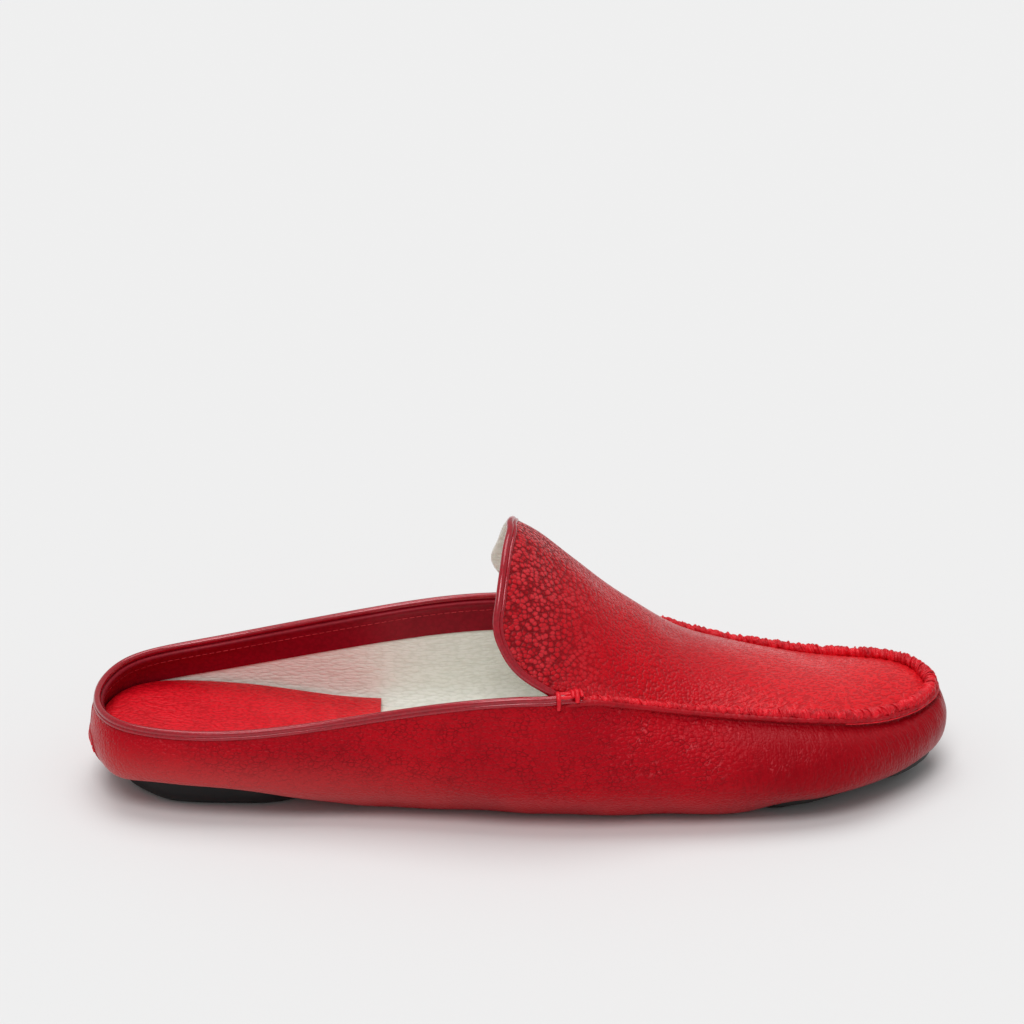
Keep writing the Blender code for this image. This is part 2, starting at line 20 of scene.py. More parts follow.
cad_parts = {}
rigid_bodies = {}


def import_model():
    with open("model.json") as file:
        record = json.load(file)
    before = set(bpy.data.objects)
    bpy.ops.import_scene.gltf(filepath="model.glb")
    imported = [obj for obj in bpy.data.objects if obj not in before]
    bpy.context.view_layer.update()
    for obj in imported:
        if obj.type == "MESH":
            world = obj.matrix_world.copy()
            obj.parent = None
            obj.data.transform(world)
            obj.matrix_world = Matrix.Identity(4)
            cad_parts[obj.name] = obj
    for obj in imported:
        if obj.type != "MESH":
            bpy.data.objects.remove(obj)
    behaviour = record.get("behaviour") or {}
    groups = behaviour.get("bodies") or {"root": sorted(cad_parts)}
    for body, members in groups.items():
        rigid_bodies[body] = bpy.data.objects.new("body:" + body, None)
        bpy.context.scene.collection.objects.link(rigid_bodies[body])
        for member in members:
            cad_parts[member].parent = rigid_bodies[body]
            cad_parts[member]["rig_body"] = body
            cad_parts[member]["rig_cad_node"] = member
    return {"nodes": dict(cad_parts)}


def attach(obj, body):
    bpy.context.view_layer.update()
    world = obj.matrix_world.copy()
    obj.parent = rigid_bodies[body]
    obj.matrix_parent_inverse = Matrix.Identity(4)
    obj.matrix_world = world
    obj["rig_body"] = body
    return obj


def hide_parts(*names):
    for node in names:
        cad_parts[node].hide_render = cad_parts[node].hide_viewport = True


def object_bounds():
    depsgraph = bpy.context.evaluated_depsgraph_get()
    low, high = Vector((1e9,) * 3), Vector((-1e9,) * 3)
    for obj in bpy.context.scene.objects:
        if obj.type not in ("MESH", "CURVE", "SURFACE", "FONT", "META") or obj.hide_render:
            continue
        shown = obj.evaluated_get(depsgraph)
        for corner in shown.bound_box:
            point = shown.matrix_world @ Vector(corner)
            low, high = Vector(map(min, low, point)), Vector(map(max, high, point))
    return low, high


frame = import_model()
cad_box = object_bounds()
scene = bpy.context.scene
MM = 0.001
print("CAD nodes:", sorted(frame["nodes"]))

# %% [markdown]
# ## Camera, floor and light
#
# The shoe was photographed from its outer side, a little from above, with a long lens.
# The camera goes in first, so that every later cell can be judged in its picture. The
# floor is a plain pale sheet that runs out of view. A soft sky lights everything, one
# broad lamp hangs over the shoe, and a second one over the camera gives the grain and
# the pipings their glints.

# %% Camera
LOOK_AT = Vector((-0.0015, -0.0012, 0.0877))
CAMERA_DISTANCE = 1.116
CAMERA_RISE = math.radians(22.3)
CAMERA_LENS_MM = 131.0

camera_place = LOOK_AT + CAMERA_DISTANCE * Vector((0, -math.cos(CAMERA_RISE), math.sin(CAMERA_RISE)))
bpy.ops.object.camera_add(location=camera_place, rotation=(math.pi / 2 - CAMERA_RISE, 0, 0))
camera = bpy.context.object
camera.name = "camera"
camera.data.lens = CAMERA_LENS_MM
camera.data.sensor_width = 36.0
scene.camera = camera
scene.view_settings.view_transform = "Standard"
print("camera at", [round(c, 3) for c in camera_place])

# %% Lights
SKY_STRENGTH = 0.43
world = bpy.data.worlds.new("studio")
world.use_nodes = True
world.node_tree.nodes["Background"].inputs["Color"].default_value = (1.0, 1.0, 1.0, 1)
world.node_tree.nodes["Background"].inputs["Strength"].default_value = SKY_STRENGTH
scene.world = world


def sun(name, azimuth, rise, strength, spread):
    """A broad, far lamp: azimuth is from +X towards +Y, rise is above the floor."""
    bpy.ops.object.light_add(type="SUN")
    lamp = bpy.context.object
    lamp.name = name
    away = Vector((math.cos(azimuth) * math.cos(rise), math.sin(azimuth) * math.cos(rise), math.sin(rise)))
    lamp.rotation_euler = away.to_track_quat("Z", "Y").to_euler()
    lamp.location = away
    lamp.data.energy = strength
    lamp.data.angle = spread
    return lamp


sun("top_lamp", math.radians(95), math.radians(76), 1.20, math.radians(44))
sun("front_lamp", math.radians(-102), math.radians(58), 1.04, math.radians(27))

# %% [markdown]
# ## Shader maths as plain sums
#
# A finish is a small recipe of textures and numbers. Wrapping a socket in a class that
# knows plus, minus and times lets the recipe be written as sums, and one method adds
# any other node. What changes over a surface goes to colour, roughness or bump only.


# %% Sockets and finishes
PEBBLE_UNEVENNESS = 0.85
PLATE_UNEVENNESS = 0.90
PEBBLE_DOME = 1.6
DRIFTS_PER_GRAIN = 0.55


class Socket:
    """A value in a shader: sums on it add Math nodes."""

    def __init__(self, finish, link):
        self.finish = finish
        self.link = link

    def math(self, operation, one, other):
        return self.finish.node("ShaderNodeMath", {"operation": operation}, {0: one, 1: other})

    def __add__(self, other):
        return self.math("ADD", self, other)

    def __mul__(self, other):
        return self.math("MULTIPLY", self, other)

    def __sub__(self, other):
        return self.math("SUBTRACT", self, other)

    def __rsub__(self, other):
        return self.math("SUBTRACT", other, self)

    __radd__ = __add__
    __rmul__ = __mul__

    def between(self, low, high):
        """0 below low, 1 above high and smooth between."""
        values = {"Value": self, "From Min": low, "From Max": high}
        return self.finish.node("ShaderNodeMapRange", {"interpolation_type": "SMOOTHSTEP"}, values)


class Finish:
    """A material made of a Principled shader and the nodes added to it."""

    def __init__(self, name):
        self.material = bpy.data.materials.new(name)
        self.material.use_nodes = True
        self.tree = self.material.node_tree
        self.shader = self.tree.nodes["Principled BSDF"]

    def node(self, kind, settings=None, values=None, output=0):
        """Adds a node with its settings, fills its inputs and gives one output."""
        made = self.tree.nodes.new(kind)
        for setting, value in (settings or {}).items():
            setattr(made, setting, value)
        for place, value in (values or {}).items():
            self.feed(made.inputs[place], value)
        return Socket(self, made.outputs[output])

    def feed(self, socket, value):
        """Links a wrapped socket, or sets a plain value."""
        if isinstance(value, Socket):
            self.tree.links.new(value.link, socket)
        else:
            socket.default_value = value

    def place(self):
        """The point being shaded, in the object's own metres."""
        return self.node("ShaderNodeTexCoord", output="Object")

    def attribute(self, name):
        """A number that the mesh carries at each point."""
        return self.node("ShaderNodeAttribute", {"attribute_name": name}, output="Fac")

    def stretched(self, vector, scale):
        """The same point with each axis scaled, so that a texture is drawn out."""
        return self.node("ShaderNodeMapping", {}, {"Vector": vector, "Scale": scale})

    def noise(self, vector, scale, detail=2.0, output="Fac", roughness=0.5):
        values = {"Vector": vector, "Scale": scale, "Detail": detail, "Roughness": roughness}
        return self.node("ShaderNodeTexNoise", {}, values, output)

    def warped(self, vector, scale, amount):
        """The point pushed about by a noise, so that cells lose their straight sides."""
        drift = self.noise(vector, scale, output="Color")
        halves = {0: drift, 1: (0.5, 0.5, 0.5)}
        centred = self.node("ShaderNodeVectorMath", {"operation": "SUBTRACT"}, halves)
        scaled = self.node("ShaderNodeVectorMath", {"operation": "SCALE"}, {0: centred, 3: amount})
        return self.node("ShaderNodeVectorMath", {"operation": "ADD"}, {0: vector, 1: scaled})

    def axes(self, vector):
        """The x, y and z of a point, each as a number."""
        split = self.node("ShaderNodeSeparateXYZ", {}, {"Vector": vector}).link.node
        return [Socket(self, split.outputs[k]) for k in range(3)]

    def point(self, x, y, z):
        """A point made of three numbers."""
        return self.node("ShaderNodeCombineXYZ", {}, {"X": x, "Y": y, "Z": z})

    def grain(self, vector, size, wander=0.55):
        """Leather grain of that size: its domed pebbles, and the hollows where they meet."""
        bent = self.warped(vector, DRIFTS_PER_GRAIN / size, wander * size)
        far = self.cells(bent, size, "F1", PEBBLE_UNEVENNESS)
        return 1.0 - far * far * PEBBLE_DOME, far.between(0.36, 0.66)

    def cracks(self, vector, size, width, wander=0.8):
        """Thin cracks round plates of that size, as wide as that share of a plate."""
        bent = self.warped(vector, DRIFTS_PER_GRAIN / size, wander * size)
        return 1.0 - self.cells(bent, size, "DISTANCE_TO_EDGE", PLATE_UNEVENNESS).between(0.0, width)

    def cells(self, vector, size, feature, unevenness):
        """Cells of about that size: the distance to their edges, or to their middles."""
        values = {"Vector": vector, "Scale": 1.0 / size, "Randomness": unevenness}
        return self.node("ShaderNodeTexVoronoi", {"feature": feature}, values, "Distance")

    def blend(self, share, one, other):
        """A colour between two colours."""
        values = {"Factor": share, 6: one, 7: other}
        return self.node("ShaderNodeMix", {"data_type": "RGBA"}, values, 2)

    def bump(self, height, depth, strength=1.0):
        """Turns a height, 0 to 1, into a relief of that depth."""
        values = {"Height": height, "Distance": depth, "Strength": strength}
        return self.node("ShaderNodeBump", {}, values)

    def shade(self, **values):
        """Fills the Principled shader's sockets: Base_Color stands for Base Color."""
        for socket, value in values.items():
            self.feed(self.shader.inputs[socket.replace("_", " ")], value)
        return self.material


print("shader class ready")

# %% [markdown]
# The floor is one plane, dull enough that no lamp mirrors in it.

# %% Floor
PALE = (0.80, 0.80, 0.80, 1)
bpy.ops.mesh.primitive_plane_add(size=9.0)
floor = bpy.context.object
floor.name = "floor"
paper = Finish("floor_paper").shade(Base_Color=PALE, Roughness=1.0, Specular_IOR_Level=0.0)
floor.data.materials.append(paper)

# %% [markdown]
# ## Working by hand, in code
#
# With a mouse, a modeller clicks a piece, goes into edit mode and picks an edge or a
# loop. These helpers do the same: they select one piece, copy a CAD node and join its
# loose triangles back into quads, and pick the edge loop that runs through one edge.


# %% Selecting and copying
def only(*pieces):
    """Selects these pieces alone, and makes the last one active."""
    if bpy.context.object and bpy.context.object.mode != "OBJECT":
        bpy.ops.object.mode_set(mode="OBJECT")
    bpy.ops.object.select_all(action="DESELECT")
    for piece in pieces:
        piece.select_set(True)
    bpy.context.view_layer.objects.active = pieces[-1]


@contextmanager
def editing(action):
    """Edit mode for the active piece, with SELECT or DESELECT done to all of it first."""
    bpy.ops.object.mode_set(mode="EDIT")
    bpy.ops.mesh.select_all(action=action)
    yield
    bpy.ops.object.mode_set(mode="OBJECT")


def nothing_picked(mesh):
    """Unselects all points, edges and faces of a mesh."""
    for group in (mesh.vertices, mesh.edges, mesh.polygons):
        group.foreach_set("select", [False] * len(group))


def finder(places):
    """A tree that finds the nearest of these places."""
    tree = KDTree(len(places))
    for number, place in enumerate(places):
        tree.insert(place, number)
    tree.balance()
    return tree


def points_of(mesh):
    """The mesh's points as rows of x, y and z."""
    points = np.empty(len(mesh.vertices) * 3)
    mesh.vertices.foreach_get("co", points)
    return points.reshape(-1, 3)


def move_points(piece, points):
    """Puts the piece's points at new places."""
    piece.data.vertices.foreach_set("co", np.asarray(points, float).ravel())
    piece.data.update()


def copy_of(node, name):
    """A copy of a CAD node, with its doubles merged and its triangles joined to quads."""
    only(frame["nodes"][node])
    bpy.ops.object.duplicate()
    piece = bpy.context.object
    bpy.ops.object.parent_clear(type="CLEAR_KEEP_TRANSFORM")
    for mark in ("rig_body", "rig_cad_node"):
        del piece[mark]
    piece.name = name
    piece.data.name = name
    piece.data.materials.clear()
    with editing("SELECT"):
        bpy.ops.mesh.remove_doubles(threshold=0.02 * MM)
        bpy.ops.mesh.tris_convert_to_quads(
            face_threshold=math.pi, shape_threshold=math.pi, topology_influence=1.5
        )
        bpy.ops.mesh.customdata_custom_splitnormals_clear()
        bpy.ops.mesh.mark_sharp(clear=True)
        bpy.ops.mesh.select_all(action="DESELECT")
    print(name, "copied:", len(piece.data.polygons), "faces")
    return piece


def pick_loop(piece, score):
    """Selects the edge loop through the edge whose two ends score highest."""
    only(piece)
    mesh = piece.data
    nothing_picked(mesh)
    best = max(mesh.edges, key=lambda edge: score(*[mesh.vertices[i].co for i in edge.vertices]))
    best.select = True
    for i in best.vertices:
        mesh.vertices[i].select = True
    scene.tool_settings.mesh_select_mode = (False, True, False)
    bpy.ops.object.mode_set(mode="EDIT")
    bpy.ops.mesh.loop_multi_select(ring=False)


def smooth_through(piece, levels):
    """Subdivides a piece and keeps its smooth surface on the piece's own corners.

    Subdivision pulls corners inwards, so each is first moved out by as much.
    """
    only(piece)
    wanted = points_of(piece.data)
    bpy.ops.object.modifier_add(type="SUBSURF")
    modifier = piece.modifiers[-1]
    modifier.levels = 1
    for _ in range(3):
        shown = piece.evaluated_get(bpy.context.evaluated_depsgraph_get()).data
        reached = points_of(shown)[: len(wanted)]
        move_points(piece, points_of(piece.data) + wanted - reached)
    modifier.levels = levels
    modifier.render_levels = levels
    bpy.ops.object.modifier_apply(modifier=modifier.name)
    bpy.ops.object.shade_smooth()


def smooth_step(value, low, high):
    """0 below low, 1 above high, and smooth between."""
    t = np.clip((value - low) / (high - low), 0, 1)
    return t * t * (3 - 2 * t)


def finish_piece(piece, material, replaces=()):
    """Gives a piece its material, its body and its place in the record."""
    piece.data.materials.clear()
    piece.data.materials.append(material)
    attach(piece, "root")
    if replaces:
        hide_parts(replaces)
    print(piece.name, "has", len(piece.data.polygons), "faces")


# %% [markdown]
# ## The wrap and its lining
#
# The upper is one hollow solid in the CAD. Cut along the loop on top of its rim, it
# falls into two sheets: the red leather outside and the pale lining inside. Each is
# subdivided by itself, so the two can wear different finishes.

# %% Cut the upper into wrap and lining
upper = copy_of("upper", "wrap")


def on_heel_rim(a, b):
    """Scores the level edges at the back of the heel by their height."""
    level = abs(a.z - b.z) < 0.4 * MM and abs(a.y - b.y) > 2 * MM
    return a.z + b.z if level and a.x < cad_box[0].x + 12 * MM else -1.0


pick_loop(upper, on_heel_rim)
bpy.ops.mesh.edge_split(type="EDGE")
bpy.ops.mesh.select_all(action="SELECT")
bpy.ops.mesh.separate(type="LOOSE")
bpy.ops.object.mode_set(mode="OBJECT")
wrap, lining = sorted(bpy.context.selected_objects, key=lambda sheet: points_of(sheet.data)[:, 2].min())
lining.name = "lining"
wrap.name = "wrap"


# %% [markdown]
# Flat parts of a CAD solid come back as a few long triangles, which subdivision would
# turn into dents. The flat under the foot is therefore deleted and laid again as even
# strips from one side to the other, with the bridge tool.

# %% Lay the bottom again
FLAT_NORMAL = 0.985
BOTTOM_CUTS = 7


def edge_chain(mesh, below):
    """The numbers of the points round a hole lower than a height, in order."""
    used = {}
    for polygon in mesh.polygons:
        for key in polygon.edge_keys:
            used[key] = used.get(key, 0) + 1
    links = {}
    for (a, b), count in used.items():
        if count == 1 and max(mesh.vertices[a].co.z, mesh.vertices[b].co.z) < below:
            links.setdefault(a, []).append(b)
            links.setdefault(b, []).append(a)
    start = min(links, key=lambda i: mesh.vertices[i].co.x)
    chain = [start, max(links[start], key=lambda i: mesh.vertices[i].co.y)]
    while chain[-1] != start:
        a, b = links[chain[-1]]
        chain.append(b if a == chain[-2] else a)
    return chain[:-1]


def lay_bottom(sheet, below):
    """Replaces the flat under the foot, lower than a height, by strips across it."""
    only(sheet)
    mesh = sheet.data
    scene.tool_settings.mesh_select_mode = (False, False, True)
    for polygon in mesh.polygons:
        polygon.select = abs(polygon.normal.z) > FLAT_NORMAL and polygon.center.z < below
    bpy.ops.object.mode_set(mode="EDIT")
    bpy.ops.mesh.delete(type="FACE")
    bpy.ops.object.mode_set(mode="OBJECT")
    chain = edge_chain(mesh, below)
    half = len(chain) // 2
    sides = set(chain[1:half]), set(chain[half + 1 :])
    scene.tool_settings.mesh_select_mode = (False, True, False)
    nothing_picked(mesh)
    around = {tuple(sorted(pair)) for pair in zip(chain, chain[1:])}
    for edge in mesh.edges:
        ends = set(edge.vertices)
        on_side = any(ends <= side for side in sides)
        if on_side and tuple(sorted(ends)) in around:
            edge.select = True
            for i in ends:
                mesh.vertices[i].select = True
    bpy.ops.object.mode_set(mode="EDIT")
    bpy.ops.mesh.bridge_edge_loops(number_cuts=BOTTOM_CUTS, interpolation="LINEAR")
    bpy.ops.mesh.select_all(action="SELECT")
    bpy.ops.mesh.fill_holes(sides=BOTTOM_CUTS + 6)
    bpy.ops.mesh.select_all(action="DESELECT")
    bpy.ops.object.mode_set(mode="OBJECT")
    corners = [len(polygon.vertices) for polygon in mesh.polygons]
    print(sheet.name, "bottom laid round", len(chain), "points;", corners.count(3), "triangles left")


lay_bottom(wrap, 11.5 * MM)
lay_bottom(lining, 14.5 * MM)

# %% [markdown]
# Worn-in leather settles: its sides sink and tuck under the foot between the two soles,
# the toe springs up, and the seam pulls the toe's corners into shape. These tables and
# numbers say how far, in millimetres, for places along the shoe. The lining is tucked in
# a little further than the wrap, so that it stays behind it.

# %% Let the leather settle
CORNER_SINK = 2.9
RISE_BEHIND_CORNER = 1.3
TOE_PUSH = 2.0
HEEL_PULL = 2.0
LINING_INSET = 1.3
LINING_RISE = 0.6
TOE_SPRING = [(70, 0.0), (78, 1.2), (84, 2.2), (97, 2.7), (109, 2.4), (116, 1.8), (122, 1.2), (130, 0.3)]
HEEL_LIFT = [(-122, -0.4), (-113, 1.4), (-103, 3.6), (-93, 4.0), (-78, 3.0), (-62, 1.4), (-45, 0.0)]
SIDE_SINK = [(-64, 0.0), (-50, 1.2), (-36, 2.2), (62, 2.2), (72, 1.4), (80, 0.0)]
SIDE_TUCK = [(-66, 0), (-52, 3.2), (-38, 5.6), (10, 6.2), (30, 5.2), (60, 4.4), (74, 3), (84, 1), (92, 0)]


def read(table, x):
    """Values of a table at places x, both in millimetres."""
    knots, values = zip(*table)
    return np.interp(x, knots, values)


def settle(piece, inset=0.0):
    """Moves a piece's points as the tables say, so that all layers stay on each other."""
    points = points_of(piece.data) / MM
    x, y, z = points.T.copy()
    high = smooth_step(y, 2, 16) * smooth_step(z, 20, 36)
    corner = smooth_step(x, 78, 104) * (1 - smooth_step(x, 124, 131)) * high
    behind = smooth_step(x, 26, 46) * (1 - smooth_step(x, 66, 90)) * high
    points[:, 2] += RISE_BEHIND_CORNER * behind - CORNER_SINK * corner
    points[:, 0] += TOE_PUSH * smooth_step(x, 104, 126) * smooth_step(z, 20, 28)
    back = 1 - smooth_step(x, -133, -112)
    points[:, 0] += HEEL_PULL * back * smooth_step(z, 4, 12) * (1 - smooth_step(z, 20, 34))
    low = 1 - smooth_step(z, 4, 15)
    side = smooth_step(abs(y), 14, 25)
    points[:, 2] += (read(TOE_SPRING, x) + read(HEEL_LIFT, x)) * low
    points[:, 2] -= read(SIDE_SINK, x) * low * side
    points[:, 1] -= np.sign(y) * (read(SIDE_TUCK, x) + inset) * low * side
    points[:, 2] += LINING_RISE * inset * low * side
    move_points(piece, points * MM)


settle(wrap)
settle(lining, LINING_INSET)
smooth_through(wrap, 3)
smooth_through(lining, 2)
print("wrap", len(wrap.data.polygons), "faces, lining", len(lining.data.polygons), "faces")


# %% [markdown]
# ## The rim as a rail
#
# Piping, seam and stitches all follow the rim, so its points are put in order once and
# kept as a rail: at any distance along it, the rail tells the place and which way is
# outwards. It starts at the back of the heel and runs along the inner side first.


# %% The rail class
class Rail:
    """A line through points, read by the distance along it."""

    def __init__(self, points, closed=False):
        self.closed = closed
        self.points = np.vstack([points, points[:1]]) if closed else np.asarray(points)
        steps = np.linalg.norm(np.diff(self.points, axis=0), axis=1)
        self.along = np.concatenate([[0], np.cumsum(steps)])
        self.length = self.along[-1]

    def at(self, along):
        """Places at distances along the rail."""
        reached = np.mod(along, self.length) if self.closed else along
        return np.stack([np.interp(reached, self.along, self.points[:, k]) for k in range(3)], axis=-1)

    def ahead(self, along, reach=1.5 * MM):
        """Unit vectors that point forwards along the rail."""
        step = self.at(np.asarray(along) + reach) - self.at(np.asarray(along) - reach)
        return step / np.linalg.norm(step, axis=-1, keepdims=True)

    def outward(self, along):
        """Level unit vectors that point away from the inside of the shoe."""
        forward = self.ahead(along, 4 * MM)
        side = np.stack([-forward[..., 1], forward[..., 0], 0 * forward[..., 0]], axis=-1)
        return side / np.linalg.norm(side, axis=-1, keepdims=True)

    def where_x(self, x, low, high):
        """The distance between low and high at which the rail reaches x."""
        tries = np.linspace(low, high, 2000)
        return tries[np.argmin(abs(self.at(tries)[:, 0] - x))]


# %% Measure the rim
INNER_THROAT_X = 12.7 * MM
OUTER_THROAT_X = 15.9 * MM

rim = Rail(points_of(wrap.data)[edge_chain(wrap.data, cad_box[1].z)], closed=True)
INNER_THROAT = rim.where_x(INNER_THROAT_X, 0.05 * rim.length, 0.40 * rim.length)
OUTER_THROAT = rim.where_x(OUTER_THROAT_X, 0.60 * rim.length, 0.95 * rim.length)
TOE_TIP = rim.where_x(rim.points[:, 0].max(), 0.40 * rim.length, 0.60 * rim.length)
corners_at = [round(corner / MM) for corner in (INNER_THROAT, OUTER_THROAT)]
print("rim", round(rim.length / MM), "mm, throat corners at", corners_at)

# %% [markdown]
# ## The apron and its tongue
#
# The apron is a sheet held by the seam on both sides. Its rows run straight across from
# seam to seam and arch up in the middle, hardly at the toe and a full half circle at
# the tongue, whose back edge also bows towards the heel. A grid primitive gets a row
# for each place along the seam, and the same few heights as the CAD's own apron.

# %% Heights of the apron
APRON_ROWS = 230
APRON_COLUMNS = 150
SEAM_TO_EDGE_IN = 1.3 * MM
SEAM_TO_EDGE_DOWN = 1.26 * MM
TONGUE_TOP = 85.0 * MM + cad_box[0].z
TONGUE_BACK = 19.0 * MM
SHOE_LENGTH = cad_box[1].x - cad_box[0].x

# Each row: share of the shoe's length, share of the height left above the seam, and
# roundness, 1 for an elliptical arch and 2 for a flat one.
CROWN = np.array(
    [
        (0.490, 1.000, 1.0),
        (0.515, 0.900, 1.0),
        (0.560, 0.670, 1.0),
        (0.620, 0.400, 1.1),
        (0.655, 0.290, 1.2),
        (0.690, 0.205, 1.3),
        (0.750, 0.140, 1.4),
        (0.830, 0.095, 1.6),
        (0.925, 0.070, 1.8),
        (0.985, 0.000, 1.9),
    ]
)
# The tongue's back edge: share of its height, and share of TONGUE_BACK.
BACK_EDGE = np.array([(0.00, 0.00), (0.08, 0.25), (0.20, 0.66), (0.42, 1.00), (0.70, 0.95), (1.00, 0.79)])
# How much further back the tongue's outer side and inner side reach.
OUTER_REACH = 1.2 * MM
INNER_REACH = -2.0 * MM


def smooth_table(at, knots, values):
    """Values of a table read along a smooth curve through its entries."""
    tangents = np.gradient(values, knots)
    at = np.clip(at, knots[0], knots[-1])
    cell = np.clip(np.searchsorted(knots, at, side="right") - 1, 0, len(knots) - 2)
    width = knots[cell + 1] - knots[cell]
    t = (at - knots[cell]) / width
    rise = t * t * (3 - 2 * t)
    bend = tangents[cell] * t * (1 - t) ** 2 - tangents[cell + 1] * t * t * (1 - t)
    return values[cell] * (1 - rise) + values[cell + 1] * rise + width * bend


# %% Lay out the apron
def apron_points(rows, columns):
    """Places of the apron's outer face, from toe to tongue and outer to inner side."""
    shares = np.linspace(0, 1, rows)
    outer_at = TOE_TIP + (OUTER_THROAT - TOE_TIP) * shares
    inner_at = TOE_TIP + (INNER_THROAT - TOE_TIP) * shares
    drop = np.array([0, 0, SEAM_TO_EDGE_DOWN])
    outer_edge = rim.at(outer_at) - rim.outward(outer_at) * SEAM_TO_EDGE_IN - drop
    inner_edge = rim.at(inner_at) - rim.outward(inner_at) * SEAM_TO_EDGE_IN - drop
    even = np.linspace(0, 1, columns)
    grid = []
    for share, a, b in zip(shares, outer_edge, inner_edge):
        tongue = smooth_step(share, 0.45, 1.0)
        turn = (1 - tongue) * np.arccos(1 - 2 * even) + tongue * math.pi * even
        line = a + (b - a) * 0.5 * (1 - np.cos(turn))[:, None]
        line[:, 0] -= TONGUE_BACK * smooth_table(np.sin(turn), *BACK_EDGE.T) * tongue
        reach = np.where(turn < math.pi / 2, OUTER_REACH, INNER_REACH)
        reach *= smooth_step(np.sin(turn), 0.36, 0.62) * smooth_step(abs(np.cos(turn)), 0.0, 0.4)
        line[:, 0] -= reach * tongue
        top = (line[columns // 2, 0] - cad_box[0].x) / SHOE_LENGTH
        rise = smooth_table(top, CROWN[:, 0], CROWN[:, 1]) * (TONGUE_TOP - 0.5 * (a[2] + b[2]))
        roundness = smooth_table(top, CROWN[:, 0], CROWN[:, 2])
        line[:, 2] += rise * np.clip(np.sin(turn), 0, 1) ** roundness
        grid.append(line)
    return np.array(grid)


def grid_normals(grid):
    """Unit normals of a grid of points, on its upper and outer side."""
    along = np.gradient(grid, axis=0)
    across = np.gradient(grid, axis=1)
    normal = np.cross(across, along)
    normal /= np.maximum(np.linalg.norm(normal, axis=2, keepdims=True), 1e-12)
    normal[0] = normal[2]
    normal[:, 0] = normal[:, 2]
    normal[:, -1] = normal[:, -3]
    return normal if normal[:, :, 2].mean() > 0 else -normal


def sheet_from(name, grid, upwards=True):
    """A grid primitive with one point for each place in the grid."""
    rows, columns = grid.shape[:2]
    bpy.ops.object.select_all(action="DESELECT")
    bpy.ops.mesh.primitive_grid_add(x_subdivisions=columns - 1, y_subdivisions=rows - 1, size=1.0)
    piece = bpy.context.object
    piece.name = name
    piece.data.name = name
    move_points(piece, grid.reshape(-1, 3))
    facing = sum(polygon.normal.z * polygon.area for polygon in piece.data.polygons)
    if (facing > 0) != upwards:
        with editing("SELECT"):
            bpy.ops.mesh.flip_normals()
    bpy.ops.object.shade_smooth()
    return piece


apron_grid = apron_points(APRON_ROWS, APRON_COLUMNS)
apron_normals = grid_normals(apron_grid)


# %% [markdown]
# Soft leather is never quite even. Long slow waves run through it, the seam draws its
# edge into small puckers, and from each throat corner a fan of wrinkles runs up into
# the tongue. Each wrinkle is a trough between two low ridges, pressed into the sheet
# along a listed path, in shares of the apron's length and width.


# %% Press creases into a sheet
# Each row: share along and across at both ends, width and depth in millimetres.
FAN = [
    (0.992, 0.012, 0.985, 0.125, 0.75, 0.30),
    (0.984, 0.014, 0.965, 0.118, 0.80, 0.36),
    (0.974, 0.016, 0.944, 0.105, 0.80, 0.32),
    (0.962, 0.016, 0.920, 0.090, 0.85, 0.30),
    (0.950, 0.016, 0.895, 0.070, 0.85, 0.26),
    (0.936, 0.016, 0.872, 0.050, 0.80, 0.22),
]
LONG_WAVES = 0.22 * MM
EDGE_PUCKER = 0.20 * MM


def trough(points, normals, path, width, depth):
    """Lowers the points near a path, and raises a low ridge on either side of it."""
    line = finder(path)
    for k, point in enumerate(points):
        _, number, gap = line.find(point)
        if gap < 4 * width:
            fade = math.sin(math.pi * (number + 0.5) / len(path)) ** 0.7
            shape = math.exp(-((gap / width) ** 2)) - 0.45 * math.exp(-(((gap - 1.8 * width) / width) ** 2))
            points[k] -= normals[k] * depth * fade * shape


def slow_waves(points, seed):
    """A smooth random height over the shoe, about -1 to 1, with waves 20 to 40 mm long."""
    draw = np.random.default_rng(seed)
    total = np.zeros(len(points))
    for _ in range(9):
        way = draw.normal(0, 1, 3)
        way *= 2 * math.pi / (draw.uniform(18, 42) * MM) / np.linalg.norm(way)
        total += np.sin(points @ way + draw.uniform(0, 2 * math.pi))
    return total / 3


flat_points = apron_grid.reshape(-1, 3)
flat_normals = apron_normals.reshape(-1, 3)
across = np.tile(np.linspace(0, 1, APRON_COLUMNS), APRON_ROWS)
inside = smooth_step(np.minimum(across, 1 - across), 0, 0.10)
flat_points += flat_normals * (LONG_WAVES * slow_waves(flat_points, 4) * inside)[:, None]
for from_row, from_column, to_row, to_column, width, depth in FAN:
    for mirrored in (False, True):
        rows = np.linspace(from_row, to_row, 30) * (APRON_ROWS - 1)
        columns = np.linspace(from_column, to_column, 30)
        columns = (1 - columns if mirrored else columns) * (APRON_COLUMNS - 1)
        path = apron_grid[rows.round().astype(int), columns.round().astype(int)]
        trough(flat_points, flat_normals, path.copy(), width * MM, depth * MM)
for edge in (0, -1):
    line = apron_grid[:, edge]
    along = np.concatenate([[0], np.cumsum(np.linalg.norm(np.diff(line, axis=0), axis=1))])
    gap = np.linalg.norm(apron_grid - line[:, None], axis=2)
    wave = np.sin(2 * math.pi * (along / (2.7 * MM) + 0.3 * np.sin(along / (7 * MM))))
    lift = EDGE_PUCKER * wave[:, None] * np.exp(-gap / (2.4 * MM)) * smooth_step(gap, 0, 0.8 * MM)
    apron_grid += apron_normals * lift[:, :, None]
cad_apron = BVHTree.FromObject(frame["nodes"]["apron"], bpy.context.evaluated_depsgraph_get())
apart = [cad_apron.find_nearest(Vector(p))[3] for p in apron_grid[::8, ::8].reshape(-1, 3)]
apart = np.array(apart) / MM
